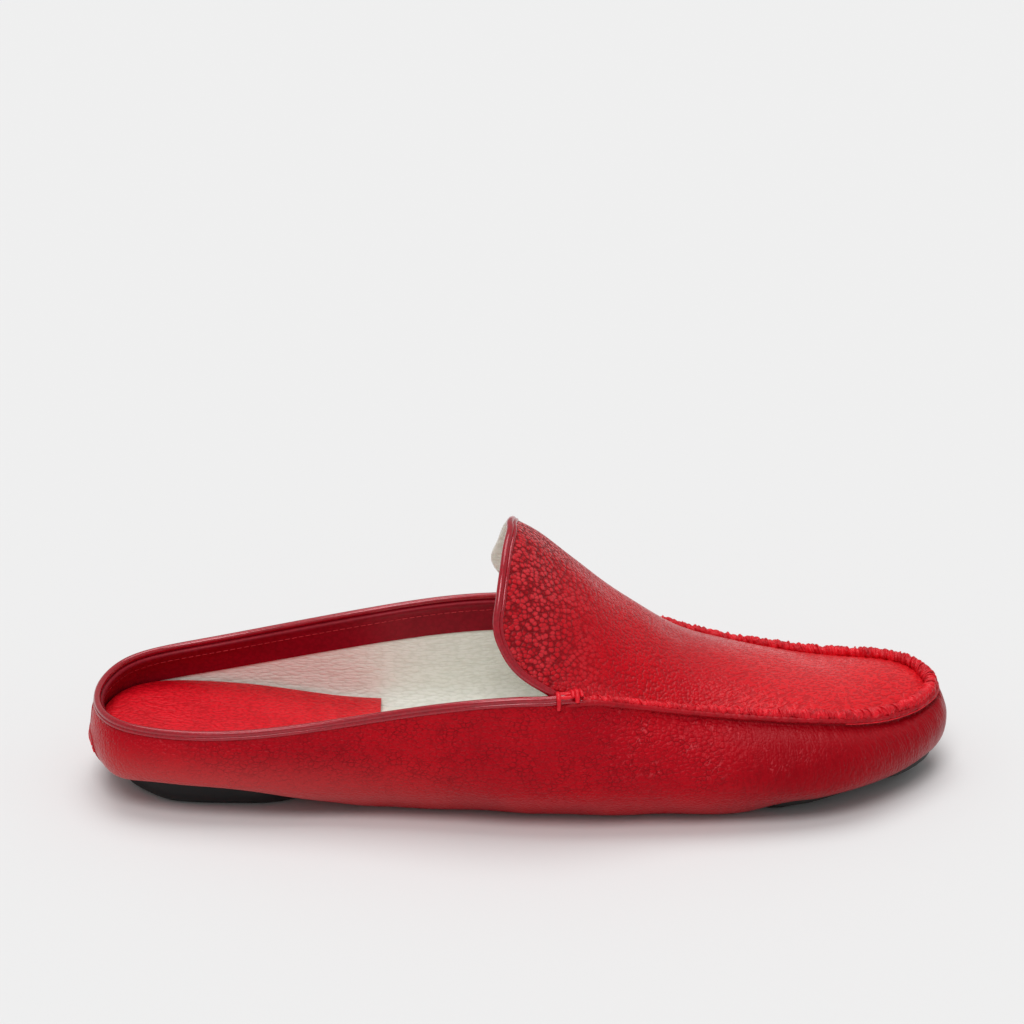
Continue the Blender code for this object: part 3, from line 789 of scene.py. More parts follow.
print("apron lies", apart.max().round(2), "mm from the CAD's at most,", apart.mean().round(2), "on average")

# %% [markdown]
# The two sides of the apron are made from the same layout: the red grain outside, and
# the pale lining one leather's thickness below it. At the tongue's edge the lining runs
# on behind the piping and curls over its back, so that from inside only pale shows.

# %% Apron and tongue lining
APRON_LEATHER = 1.8 * MM
CURL = np.array([(0.8, 0.00), (1.5, 0.02), (1.95, 0.20), (2.1, 0.55)]) * MM

apron = sheet_from("apron_leather", apron_grid)
tongue_back = apron_grid[-1] - apron_grid[-4]
tongue_back /= np.linalg.norm(tongue_back, axis=1)[:, None]
under = apron_grid - apron_normals * APRON_LEATHER
far_side = smooth_step(apron_grid[-1, :, 1], 0, 14 * MM)[:, None]
curl_back = tongue_back * (0.65 + 0.35 * far_side)
curl = [under[-1] + back * curl_back + rise * apron_normals[-1] for back, rise in CURL]
under = np.concatenate([under[:-1:3], under[-1:], curl])[:, ::3]
tongue_lining = sheet_from("tongue_lining", under, upwards=False)

# %% [markdown]
# ## Pipings
#
# The collar and the tongue are edged with a thin strip of glossy leather, folded over a
# cord. The fold shows as a round bead, and the strip's lower edge as a thinner second
# line under it. Both are tubes along a curve, joined into one piece.


# %% Tubes along a line
def tubes(name, lines, radii, sides):
    """One mesh of round tubes: each line is rows of places, with a radius at each."""
    curve = bpy.data.curves.new(name, "CURVE")
    curve.dimensions = "3D"
    curve.bevel_depth = 1.0
    curve.bevel_resolution = max(sides // 4 - 1, 0)
    curve.use_fill_caps = True
    for line, radius in zip(lines, radii):
        spline = curve.splines.new("POLY")
        spline.points.add(len(line) - 1)
        spline.points.foreach_set("co", np.column_stack([line, np.ones(len(line))]).ravel())
        spline.points.foreach_set("radius", np.broadcast_to(radius, len(line)).astype(float))
    piece = bpy.data.objects.new(name, curve)
    scene.collection.objects.link(piece)
    only(piece)
    bpy.ops.object.convert(target="MESH")
    piece = bpy.context.object
    bpy.ops.object.shade_smooth()
    return piece


# %% Collar piping
PIPING_STEP = 0.8 * MM
PIPING_TAIL = 3.2 * MM
PIPING_SINKS_OVER = 6.0 * MM
BEAD_RADIUS = 1.10 * MM
STRIP_RADIUS = 0.70 * MM
UP = np.array([0.0, 0.0, 1.0])

collar_ends = OUTER_THROAT - rim.length - PIPING_TAIL, INNER_THROAT + PIPING_TAIL
collar_along = np.arange(*collar_ends, PIPING_STEP)
collar_out = rim.outward(collar_along)
collar_line = rim.at(collar_along)
to_end = np.minimum(collar_along - collar_ends[0], collar_ends[1] - collar_along)
open_share = smooth_step(to_end, 0, PIPING_SINKS_OVER)
bead_rise = (1.55 * open_share - 0.5 * (1 - open_share)) * MM
strip_rise = (0.42 * open_share - 0.3 * (1 - open_share)) * MM
bead = collar_line + 0.10 * MM * collar_out + bead_rise[:, None] * UP
strip = collar_line + 0.66 * MM * collar_out + strip_rise[:, None] * UP
collar_radii = [BEAD_RADIUS * (0.45 + 0.55 * open_share), STRIP_RADIUS * (0.75 + 0.25 * open_share)]
collar_roll = tubes("collar_roll", [bead, strip], collar_radii, sides=20)

# %% Tongue piping
tongue_edge = apron_grid[-1] - 0.5 * APRON_LEATHER * apron_normals[-1]
bead = tongue_edge + (1.15 - 0.45 * far_side) * MM * tongue_back + 0.42 * MM * apron_normals[-1]
strip = tongue_edge - 0.25 * MM * tongue_back + 0.80 * MM * apron_normals[-1]
tongue_roll = tubes("tongue_roll", [bead, strip], [BEAD_RADIUS, 0.62 * MM], sides=20)

# %% [markdown]
# ## The gathered seam
#
# The wrap is longer than the apron, so the seam draws it up into small uneven puckers.
# Two rolls stand up side by side, a lumpy one over the apron's edge and a smoother one
# outside it. Each is a grid bent round the rim, whose radius rises and falls with the
# puckers, and the puckers lean a little round the roll as whipped leather does.


# %% Uneven steps along a line
def wander(along, pitch, seed):
    """A smooth random number, about -1 to 1, that changes over that pitch."""
    knots = np.arange(along[0] - pitch, along[-1] + 2 * pitch, pitch)
    return np.interp(along, knots, np.random.default_rng(seed).uniform(-1, 1, len(knots)))


def gathers(along, pitch, seed, lean=0.0):
    """Puckers of about that pitch: 0 in the valleys and 1 on the tops."""
    phase = along / pitch + 0.55 * wander(along, 1.9 * pitch, seed)
    phase = phase + 0.8 * wander(along, 5.3 * pitch, seed + 1)
    return abs(np.sin(math.pi * (phase[:, None] + lean))) ** 0.75


def crumples(along, sides, pitch, seed):
    """A random field round a roll, about -1 to 1, with creases as far apart as the pitch."""
    knots = np.arange(along[0] - pitch, along[-1] + 2 * pitch, pitch)
    field = np.random.default_rng(seed).uniform(-1, 1, (len(knots), 9))
    field[:, -1] = field[:, 0]
    rows = np.stack([np.interp(along, knots, line) for line in field.T], axis=1)
    turns = np.linspace(0, 1, sides)
    return np.stack([np.interp(turns, np.linspace(0, 1, 9), row) for row in rows])


def roll_along(name, centre, out, radius, relief):
    """A closed roll round a line: relief multiplies the radius at each place and turn."""
    sides = relief.shape[1]
    turn = np.linspace(0, 2 * math.pi, sides)
    across = np.cos(turn)[None, :, None] * out[:, None, :] + np.sin(turn)[None, :, None] * UP
    grid = centre[:, None, :] + across * (radius[:, None] * relief)[:, :, None]
    grid[:, -1] = grid[:, 0]
    grid[0] = centre[0]
    grid[-1] = centre[-1]
    piece = sheet_from(name, grid)
    with editing("SELECT"):
        bpy.ops.mesh.remove_doubles(threshold=0.002 * MM)
        bpy.ops.mesh.normals_make_consistent(inside=False)
    return piece


# %% Rolls of the seam
GATHER_PITCH = 1.9 * MM
ROLL_SIDES = 25
SEAM_STEP = 0.22 * MM
ROLL_RADIUS = 1.12
ROLL_GROWTH = 0.72
seam_along = np.arange(INNER_THROAT - 3 * MM, OUTER_THROAT + 3 * MM, SEAM_STEP)
seam_out = rim.outward(seam_along)
seam_line = rim.at(seam_along)
toe_share = smooth_step(seam_line[:, 0], 15 * MM, 122 * MM)
seam_end = smooth_step(np.minimum(seam_along - seam_along[0], seam_along[-1] - seam_along), 0, 7 * MM)
turn = np.linspace(0, 2 * math.pi, ROLL_SIDES)

lumps = gathers(seam_along, GATHER_PITCH, 3, lean=0.45 * np.sin(turn + 0.6))
folds = crumples(seam_along, ROLL_SIDES, 0.9 * MM, 17)
folds = folds + 0.6 * crumples(seam_along, ROLL_SIDES, 2.4 * MM, 18)
uneven = 1 + 0.13 * wander(seam_along, 1.0 * MM, 5) + 0.13 * wander(seam_along, 3.9 * MM, 6)
inner_radius = (ROLL_RADIUS + ROLL_GROWTH * toe_share) * MM * (0.35 + 0.65 * seam_end) * uneven
inner_centre = seam_line - seam_out * ((0.70 + 0.15 * toe_share) * MM)[:, None]
inner_centre += UP * ((0.42 * toe_share - 0.32 + 0.22 * wander(seam_along, 2.3 * MM, 8)) * MM)[:, None]
inner_relief = 0.84 + 0.25 * lumps + 0.13 * folds
inner_roll = roll_along("seam_inner_roll", inner_centre, seam_out, inner_radius, inner_relief)

tucks = gathers(seam_along, 1.35 * GATHER_PITCH, 11, lean=0.15 * np.cos(turn))
outer_radius = (0.98 - 0.10 * toe_share) * MM * (0.40 + 0.60 * seam_end)
outer_radius *= 1 + 0.05 * wander(seam_along, 2.9 * MM, 12)
outer_centre = seam_line + seam_out * ((0.50 + 0.35 * toe_share) * MM)[:, None] - UP * 1.05 * MM
outer_relief = 1 + (0.08 + 0.16 * toe_share[:, None]) * (tucks - 0.6)
outer_relief += (0.03 + 0.08 * toe_share[:, None]) * crumples(seam_along, ROLL_SIDES, 1.6 * MM, 19)
outer_roll = roll_along("seam_outer_roll", outer_centre, seam_out, outer_radius, outer_relief)

# %% [markdown]
# A thick thread whips over the lumpy roll. By hand no two stitches are alike, so each
# one's slant, length and tightness is drawn from a seeded generator. A second thread
# runs flat along the foot of the outer roll round the toe.

# %% Threads of the seam
STITCH_PITCH = 3.1 * MM
generator = np.random.default_rng(7)
stitches = []
stitch_radii = []
for along in np.arange(INNER_THROAT + 2 * STITCH_PITCH, OUTER_THROAT - 2 * STITCH_PITCH, STITCH_PITCH):
    along += generator.uniform(-0.40, 0.40) * STITCH_PITCH
    reach = generator.uniform(0.05, 0.45) * STITCH_PITCH
    slant = np.linspace(-reach, reach, 8)
    turn = np.radians(np.linspace(generator.uniform(-20, 15), generator.uniform(150, 200), 8))
    place = rim.at(along + slant)
    out = rim.outward(along + slant)
    share = float(smooth_step(place[3, 0], 15 * MM, 122 * MM))
    middle = place - out * (0.70 + 0.15 * share) * MM + UP * (0.42 * share - 0.32) * MM
    wide = (ROLL_RADIUS + ROLL_GROWTH * share) * MM * generator.uniform(0.94, 1.12)
    stitches.append(middle + out * (np.cos(turn) * wide)[:, None] + UP * (np.sin(turn) * wide)[:, None])
    stitch_radii.append(generator.uniform(0.16, 0.34) * MM)
toe_from = rim.where_x(104 * MM, INNER_THROAT, TOE_TIP)
toe_to = rim.where_x(98 * MM, TOE_TIP, OUTER_THROAT)
foot_along = np.arange(toe_from, toe_to, 0.8 * MM)
foot_wave = 0.12 * wander(foot_along, 2.0 * MM, 21)[:, None] * MM
foot_line = rim.at(foot_along) + rim.outward(foot_along) * (1.72 * MM + foot_wave) - UP * 1.62 * MM
stitches.append(foot_line)
stitch_radii.append(0.20 * MM)
seam_thread = tubes("seam_thread", stitches, stitch_radii, sides=8)
print(len(stitches), "seam threads")

# %% [markdown]
# At each throat corner, where collar, tongue and seam meet, a few thick loops hold them
# together: four bars over the ridge, and three strands from bar to bar.

# %% Tacks at the throat corners
# The way over the ridge, as places outwards and upwards.
TACK_PATH = [(-3.1, 0.5), (-2.2, 1.8), (-0.9, 2.7), (0.5, 2.8), (1.6, 1.9), (2.0, 0.3), (2.05, -1.3)]
TACK_BEFORE = -3.9
TACK_AFTER = 2.4
# Each bar over the ridge: place before the corner, radius, and how many points it has.
BARS = [(-3.9, 0.82, 7), (0.5, 0.80, 5), (1.6, 0.95, 6), (2.8, 0.75, 5)]
# Each strand between the bars: height, side and radius.
STRANDS = [(2.35, -1.4, 0.58), (2.60, -0.3, 0.50), (2.10, 0.8, 0.60)]
tacks = []
tack_radii = []
for corner, forwards in ((INNER_THROAT, 1), (OUTER_THROAT, -1)):
    for start, radius, count in BARS:
        jitter = generator.uniform(-0.3, 0.3, count).cumsum() * 0.4 * MM
        along = corner + forwards * (start * MM + jitter)
        path = np.array(TACK_PATH[:count]) * MM + generator.uniform(-0.10, 0.10, (count, 2)) * MM
        tacks.append(rim.at(along) + rim.outward(along) * path[:, :1] + UP * path[:, 1:])
        tack_radii.append(radius * MM * np.linspace(1.0, 0.75, count))
    for height, side, radius in STRANDS:
        reach = corner + forwards * np.linspace(TACK_BEFORE, TACK_AFTER, 9) * MM
        dip = 0.35 * np.sin(np.linspace(0, math.pi, 9))[:, None] * MM
        tacks.append(rim.at(reach) + rim.outward(reach) * side * MM + UP * (height * MM - dip))
        tack_radii.append(np.full(9, radius * MM))
throat_tacks = tubes("throat_tacks", tacks, tack_radii, sides=10)

# %% [markdown]
# ## Inside the collar
#
# A strip of smooth dark red leather faces the inside of the collar, down to where the
# pale lining begins, with a line of fine stitches under the piping. The strip is laid
# on the lining by casting a ray outwards at each of its points.

# %% Facing strip
FACING_DEPTH = 9.5 * MM
FACING_ROWS = 14
lining_tree = BVHTree.FromObject(lining, bpy.context.evaluated_depsgraph_get())


def on_lining(along, depth, lift):
    """The place on the lining's wall at a depth below the rim, lifted off it."""
    start = rim.at(along) - rim.outward(along) * 14 * MM - UP * depth
    out = Vector(rim.outward(along))
    hit = lining_tree.ray_cast(Vector(start), out, 0.03)[0]
    if hit is None:
        hit = Vector(rim.at(along) - rim.outward(along) * 1.0 * MM - UP * depth)
    return np.array(hit - out * lift)


facing_along = np.arange(OUTER_THROAT - rim.length - 4 * MM, INNER_THROAT + 4 * MM, 1.2 * MM)
facing_depths = np.linspace(0.9 * MM, FACING_DEPTH, FACING_ROWS)
facing_grid = [[on_lining(s, d, 0.35 * MM) for s in facing_along] for d in facing_depths]
facing_top = rim.at(facing_along) + UP * 0.8 * MM
facing_turn = rim.at(facing_along) - rim.outward(facing_along) * 0.95 * MM + UP * 0.60 * MM
facing_edge = rim.at(facing_along) - rim.outward(facing_along) * 1.95 * MM + UP * 0.10 * MM
facing_grid = np.array([facing_top, facing_turn, facing_edge, *facing_grid])
facing = sheet_from("facing", facing_grid)
facing_rail = Rail(np.array([on_lining(s, 2.5 * MM, 0.45 * MM) for s in facing_along]))
dash = np.linspace(0, 1.5, 3) * MM
dash_starts = np.arange(2 * MM, facing_rail.length - 3 * MM, 2.2 * MM)
dashes = [facing_rail.at(start + dash) for start in dash_starts]
facing_thread = tubes("facing_thread", dashes, [0.13 * MM] * len(dashes), sides=8)
print(len(dashes), "facing stitches")

# %% [markdown]
# ## Footbed, heel pad and rubber soles
#
# The footbed and the heel pad keep the CAD's shape. Their hard edges are creased, so that
# subdivision rounds the outline without melting the edge, and a small bevel softens the
# pad's. Both then settle as the wrap did.

# %% Smooth copies with kept edges
HARD_EDGE = math.radians(50)


def smooth_copy(node, name, bevel):
    """A copy of a CAD node, smooth along its outline, with its edges slightly rounded."""
    piece = copy_of(node, name)
    only(piece)
    scene.tool_settings.mesh_select_mode = (False, True, False)
    with editing("DESELECT"):
        bpy.ops.mesh.edges_select_sharp(sharpness=HARD_EDGE)
        bpy.ops.transform.edge_crease(value=1.0)
    smooth_through(piece, 2)
    if bevel:
        bpy.ops.object.modifier_add(type="BEVEL")
        modifier = piece.modifiers[-1]
        modifier.width = bevel
        modifier.segments = 2
        modifier.limit_method = "ANGLE"
        modifier.angle_limit = HARD_EDGE
        bpy.ops.object.modifier_apply(modifier=modifier.name)
    bpy.ops.object.shade_smooth_by_angle(angle=math.radians(40))
    return piece


footbed = smooth_copy("insole", "footbed", 0)
heel_cushion = smooth_copy("heel_pad", "heel_cushion", 0.35 * MM)
settle(footbed, LINING_INSET)
settle(heel_cushion)

# %% [markdown]
# The rubber soles are flat shapes with a rounded lower edge. Their outline is taken
# from the CAD seen from above and smoothed, and rings of it, each a little smaller and
# lower, make the side, the rounded edge and the tread. A number on each point tells
# how far it is from the edge, which the rubber's finish uses for its stitched groove.


# %% Soles from rings
def outline_of(node, count):
    """A smooth closed outline of a CAD node seen from above, anticlockwise."""
    flat = points_of(frame["nodes"][node].data)[:, :2]
    corners = [flat[i] for i in hull_of(flat)]
    line = Rail(np.column_stack([corners, np.zeros(len(corners))]), closed=True)
    even = line.at(np.linspace(0, line.length, count, endpoint=False))[:, :2]
    for _ in range(12):
        even = even + 0.25 * (np.roll(even, 1, axis=0) + np.roll(even, -1, axis=0) - 2 * even)
    return even


def hull_of(flat):
    """The numbers of the points on the hull of a flat set, anticlockwise."""
    order = sorted(range(len(flat)), key=lambda i: tuple(flat[i]))
    hull = []
    for run in (order, order[::-1]):
        part = []
        for i in run:
            while len(part) > 1:
                one = flat[part[-1]] - flat[part[-2]]
                other = flat[i] - flat[part[-1]]
                if one[0] * other[1] - one[1] * other[0] > 0:
                    break
                part.pop()
            part.append(i)
        hull += part[:-1]
    return hull


OUTLINE_POINTS = 260
GROOVE_DEPTH = 0.4 * MM
GROOVE_HALF_WIDTH = 0.25 * MM
TREAD_BAND = 4.0 * MM
TREAD_STEPS = np.arange(0.2, 4.0, 0.2) * MM
FOREFOOT_TUCK = [(70, 6.6), (79, 2.6), (88, 2.2), (98, 3.3), (112, 3.1), (118, 0.7), (123, -1.5)]
HEEL_TUCK = [(-120, 2.5), (-60, 3.2)]


def make_tread(node, name, rounding, tuck, sink, groove_at=0.0):
    """A rubber sole as rings of its outline, from its top edge to the tread's middle."""
    outline = outline_of(node, OUTLINE_POINTS)
    side = smooth_step(abs(outline[:, 1]), 6 * MM, 20 * MM)
    outline[:, 1] -= np.sign(outline[:, 1]) * read(tuck, outline[:, 0] / MM) * MM * side
    ahead = np.roll(outline, -1, axis=0) - np.roll(outline, 1, axis=0)
    ahead /= np.linalg.norm(ahead, axis=1)[:, None]
    inward = np.column_stack([-ahead[:, 1], ahead[:, 0]])
    tree = BVHTree.FromObject(frame["nodes"][node], bpy.context.evaluated_depsgraph_get())
    inside = outline + inward * (rounding + 0.8 * MM)
    centre = outline.mean(axis=0)

    def height(flat, upwards):
        """The solid's underside, or its top, over each place, evened out along the ring."""
        start = -0.02 if upwards else 0.05
        way = Vector((0, 0, 1 if upwards else -1))
        hits = [tree.ray_cast(Vector((*p, start)), way)[0] for p in flat]
        high = np.array([hit.z if hit else np.nan for hit in hits])
        good = ~np.isnan(high)
        high = np.interp(np.arange(len(high)), np.flatnonzero(good), high[good])
        high = high + read(TOE_SPRING, flat[:, 0] / MM) * MM
        for _ in range(10):
            high = high + 0.25 * (np.roll(high, 1) + np.roll(high, -1) - 2 * high)
        return high

    top = height(inside, False) + sink
    low = height(inside, True)
    rings = [np.column_stack([outline + inward * 0.3 * MM, top])]
    rings.append(np.column_stack([outline, top - 0.25 * MM]))
    rings.append(np.column_stack([outline, 0.5 * (top + low + rounding)]))
    lift = np.minimum(rounding, 0.75 * (top - low))
    for turn in np.radians(np.arange(90, -1, -15)):
        flat = outline + inward * (rounding * (1 - math.sin(turn)))
        rings.append(np.column_stack([flat, low + lift * (1 - math.cos(turn))]))
    for step in TREAD_STEPS:
        flat = outline + inward * (rounding + step)
        groove = GROOVE_DEPTH * (abs(rounding + step - groove_at) < GROOVE_HALF_WIDTH)
        rings.append(np.column_stack([flat, height(flat, True) + groove]))
    last = outline + inward * (rounding + TREAD_BAND)
    for share in (0.9, 0.75, 0.55, 0.35, 0.15):
        flat = centre + (last - centre) * share
        rings.append(np.column_stack([flat, height(flat, True)]))
    grid = np.array([np.vstack([ring, ring[:1]]) for ring in rings])
    piece = sheet_from(name, grid, upwards=False)
    edge = finder([(*place, 0) for place in outline])
    only(piece)
    with editing("SELECT"):
        bpy.ops.mesh.remove_doubles(threshold=0.01 * MM)
        bpy.ops.mesh.fill_holes(sides=0)
    inset = piece.data.attributes.new("inset", "FLOAT", "POINT")
    gaps = [edge.find((v.co.x, v.co.y, 0))[2] for v in piece.data.vertices]
    inset.data.foreach_set("value", gaps)
    bpy.ops.object.shade_smooth_by_angle(angle=math.radians(50))
    return piece


FOREFOOT_GROOVE = 2.8 * MM
forefoot_tread = make_tread(
    "forefoot_sole", "forefoot_tread", 1.2 * MM, FOREFOOT_TUCK, 1.6 * MM, FOREFOOT_GROOVE
)
heel_tread = make_tread("heel_sole", "heel_tread", 4.5 * MM, HEEL_TUCK, 2.6 * MM)


# %% [markdown]
# ## Pleats and waves of the wrap
#
# Round the toe the wrap's fullness falls into soft pleats below the seam, deepest at
# the seam and gone before the sole. Long slow waves run through the rest. Both move the
# wrap's own points along its normals.

# %% Relief of the wrap
PLEAT_PITCH = 4.4 * MM
PLEAT_DEPTH = 0.38 * MM
PLEAT_REACH = 8.0 * MM
WRAP_WAVES = 0.28 * MM

rim_plan = finder([(corner[0], corner[1], 0) for corner in rim.points])
wrap_points = points_of(wrap.data)
wrap_normals = np.array([vertex.normal for vertex in wrap.data.vertices])
nearest = np.array([rim_plan.find((p[0], p[1], 0))[1] for p in wrap_points])
around = rim.along[nearest]
below = rim.points[nearest, 2] - wrap_points[:, 2]
order = np.argsort(around)
pleats = np.empty(len(around))
pleats[order] = gathers(around[order], PLEAT_PITCH, 31)[:, 0]
fullness = smooth_step(wrap_points[:, 0], 62 * MM, 108 * MM) * smooth_step(below, 1.5 * MM, 4 * MM)
relief = PLEAT_DEPTH * (pleats - 1) * fullness * np.exp(-below / PLEAT_REACH)
relief += WRAP_WAVES * slow_waves(wrap_points, 9) * smooth_step(below, 2 * MM, 9 * MM)
move_points(wrap, wrap_points + wrap_normals * relief[:, None])
wrap.data.attributes.new("around", "FLOAT", "POINT").data.foreach_set("value", around)
print("wrap relief from", round(relief.min() / MM, 2), "to", round(relief.max() / MM, 2), "mm")

# %% [markdown]
# ## The heel's flap and back seam
#
# The wrap ends at the heel, where its two sides meet in an upright seam. Under it the
# bottom's own flap is folded up over the back and sewn down. The flap is a small sheet
# laid on the heel by casting rays outwards from the heel's middle, with its edge turned
# in. Two thin lips over the join make the upright seam.

# %% Heel flap
FLAP_HALF_WIDTH = 15.5 * MM
FLAP_BOTTOM = 5.0 * MM
FLAP_TOP = 18.5 * MM
FLAP_CORNER = 7.0 * MM
FLAP_LIFT = 0.34 * MM
LIP_RADIUS = 0.52 * MM
HEEL_MIDDLE = Vector((-96.0 * MM, -1.0 * MM, 22.0 * MM))
HEEL_RADIUS = 36.0 * MM
wrap_tree = BVHTree.FromObject(wrap, bpy.context.evaluated_depsgraph_get())


def on_heel(across, height, lift):
    """The place on the heel's outside at a distance from its middle line and a height."""
    angle = across / HEEL_RADIUS
    fall = height - HEEL_MIDDLE.z
    way = Vector((-HEEL_RADIUS * math.cos(angle), HEEL_RADIUS * math.sin(angle), fall)).normalized()
    hit, normal, _, _ = wrap_tree.ray_cast(HEEL_MIDDLE, way)
    if normal.dot(way) < 0:
        normal = -normal
    return np.array(hit + normal * lift)


FLAP_EDGE = [(1.0, -0.4), (1.0, 0.7), (0.985, 0.95), (0.95, 1.0)]
flap_rings = []
corners = np.linspace(-1, 1, 61)
top_at = FLAP_TOP - FLAP_CORNER * np.clip((abs(corners) - 0.72) / 0.28, 0, 1) ** 2.2
for share, lift in FLAP_EDGE + [(s, 1.0) for s in np.linspace(0.9, 0, 22)]:
    heights = FLAP_BOTTOM + (top_at - FLAP_BOTTOM) * share
    side_lift = FLAP_LIFT * np.clip(np.minimum((1 - abs(corners)) * 12, 1), -0.4, 1)
    rows = zip(corners * FLAP_HALF_WIDTH, heights, np.minimum(lift * FLAP_LIFT, side_lift))
    flap_rings.append([on_heel(*row) for row in rows])
heel_flap = sheet_from("heel_flap", np.array(flap_rings), upwards=False)
flap_stitches = []
for start in np.arange(-0.90, 0.90, 0.085):
    line = np.linspace(start, start + 0.055, 4)
    heights = np.interp(line, corners, top_at) - 1.9 * MM
    rows = zip(line * FLAP_HALF_WIDTH, heights)
    flap_stitches.append(np.array([on_heel(*row, FLAP_LIFT + 0.08 * MM) for row in rows]))
lip_heights = np.linspace(FLAP_TOP - 1 * MM, rim.at(0.0)[2] - 0.6 * MM, 14)
lips = [np.array([on_heel(side, h, -0.15 * MM) for h in lip_heights]) for side in (-LIP_RADIUS, LIP_RADIUS)]
back_seam = tubes("back_seam", lips, [LIP_RADIUS] * 2, sides=12)
flap_thread = tubes("flap_thread", flap_stitches, [0.17 * MM] * len(flap_stitches), sides=8)
print("heel flap with", len(flap_stitches), "stitches")

# %% [markdown]
# ## Finishes
#
# The red leather is heavily grained, and the grain changes over the shoe: round pebbles
# on the tongue, fine ones behind the toe, short slanting lines on the toe, and wide
# plates with thin cracks along the sides, which turn into folds round the toe. Each is a
# field of cells, bent by a noise, and the place on the shoe decides which one shows. The
# cracks are darker, partly from dye that collects there and partly as painted shade
# where light doesn't reach them; the folds round the toe are darkened as painted shade.
# Light is painted in too: highlights on the tops of the tongue's pebbles and on fine
# ridges of the sides, a sheen low on the heel, a lighter toe on the apron, and shade on
# the tongue, along the sides and on the wrap's toe.

# %% Colours of the red leather
RED = (0.66, 0.002, 0.011, 1)
WARM_RED = (0.76, 0.004, 0.011, 1)
# The sides' reds are darker copies of the apron's leather: painted shade.
SIDE_SHADE_RED = (0.42, 0.001, 0.008, 1)
SIDE_SHADE_WARM_RED = (0.50, 0.002, 0.009, 1)
# Painted shade for the side of the wrap's toe.
TOE_SHADE_RED = (0.26, 0.000, 0.004, 1)
# Painted shade for the tongue and the apron's middle.
TONGUE_SHADE_RED = (0.46, 0.000, 0.007, 1)
# Painted light and sheen for the top of the apron's toe.
TOE_PAINTED_LIGHT = (0.84, 0.026, 0.032, 1)
# Painted highlight for the tops of the tongue's pebbles.
PAINTED_PEBBLE_HIGHLIGHT = (0.90, 0.11, 0.13, 1)
# Dark red for cracks and folds: partly dye, partly painted shade.
CRACK_DYE_AND_SHADE = (0.17, 0.000, 0.003, 1)
# Painted sheen low on the heel's side, a reflection of the floor.
PAINTED_SHEEN_RED = (0.52, 0.060, 0.060, 1)
# Painted glints for fine ridges on the sides.
PAINTED_RIDGE_GLINT = (0.80, 0.12, 0.14, 1)
RED_GLINT = (1.0, 0.45, 0.47, 1)
DEEP_GLINT = (1.0, 0.30, 0.33, 1)


def red_colour(leather, place, reds):
    """Red with slow changes from place to place."""
    return leather.blend(leather.noise(place, 45.0, 3.0).between(0.30, 0.70), *reds)


# %% Apron leather
TONGUE_PEBBLE = 1.32 * MM
GRAIN_DEPTH = 0.46 * MM


def apron_leather():
    """Round pebbles on the tongue, fine grain behind the toe and short lines on the toe."""
    leather = Finish("apron_grain")
    place = leather.place()
    x, y, _ = leather.axes(place)
    tongue = 1.0 - x.between(4 * MM, 34 * MM)
    toe = x.between(36 * MM, 74 * MM)
    wide = leather.stretched(place, (0.80, 0.85, 1))
    pebbles, hollows = leather.grain(wide, TONGUE_PEBBLE)
    gaps = leather.cracks(wide, TONGUE_PEBBLE, 0.26, wander=0.55)
    middling, dots = leather.grain(place, 1.05 * MM)
    slanting = leather.point((x * 0.83 + y * 0.56) * 0.30, y * 0.83 - x * 0.56, 0.0)
    lines = leather.cracks(slanting, 1.15 * MM, 0.26)
    mottle = leather.noise(place, 260.0, 2.0)
    broken = leather.noise(place, 800.0, 1.0).between(0.38, 0.55)
    pebble_height = pebbles * 0.80 - gaps * 0.12
    fine_height = middling * 0.50
    toe_height = middling * 0.08 - lines * (0.25 + broken * 0.75) * 0.30
    height = pebble_height * tongue + fine_height * (1.0 - tongue) * (1.0 - toe) + toe_height * toe
    crack = (gaps * 0.42 + hollows * 0.50) * tongue + dots * (1.0 - tongue) * (1.0 - toe * 0.9) * 0.36
    crack = crack + lines * broken * toe * 0.36
    # Patches of the tongue where the pebbles' tops get a painted highlight.
    glint_patches = leather.noise(place, 95.0, 2.0).between(0.40, 0.62)
    glint = pebbles.between(0.45, 0.85) * (0.25 + glint_patches * 0.75) * tongue
    toe_end = x.between(46 * MM, 96 * MM)
    colour = red_colour(leather, place, (RED, WARM_RED))
    # Painted shade towards the tongue, away from the lit toe.
    colour = leather.blend((1.0 - toe_end) * 0.60, colour, TONGUE_SHADE_RED)
    # Painted light on the apron's toe.
    colour = leather.blend(toe_end * 0.45, colour, TOE_PAINTED_LIGHT)
    # Cracks and hollows darkened: partly dye, partly painted shade.
    colour = leather.blend(crack, colour, CRACK_DYE_AND_SHADE)
    # Painted highlight on the pebbles' tops.
    colour = leather.blend(glint * 0.25, colour, PAINTED_PEBBLE_HIGHLIGHT)
    return leather.shade(
        Base_Color=colour,
        Roughness=0.20 + mottle * 0.08 + crack * 0.30,
        Normal=leather.bump(height, GRAIN_DEPTH),
        Specular_IOR_Level=0.36,
        Specular_Tint=RED_GLINT,
    )


# %% Wrap leather
SIDE_PLATE = 1.2 * MM


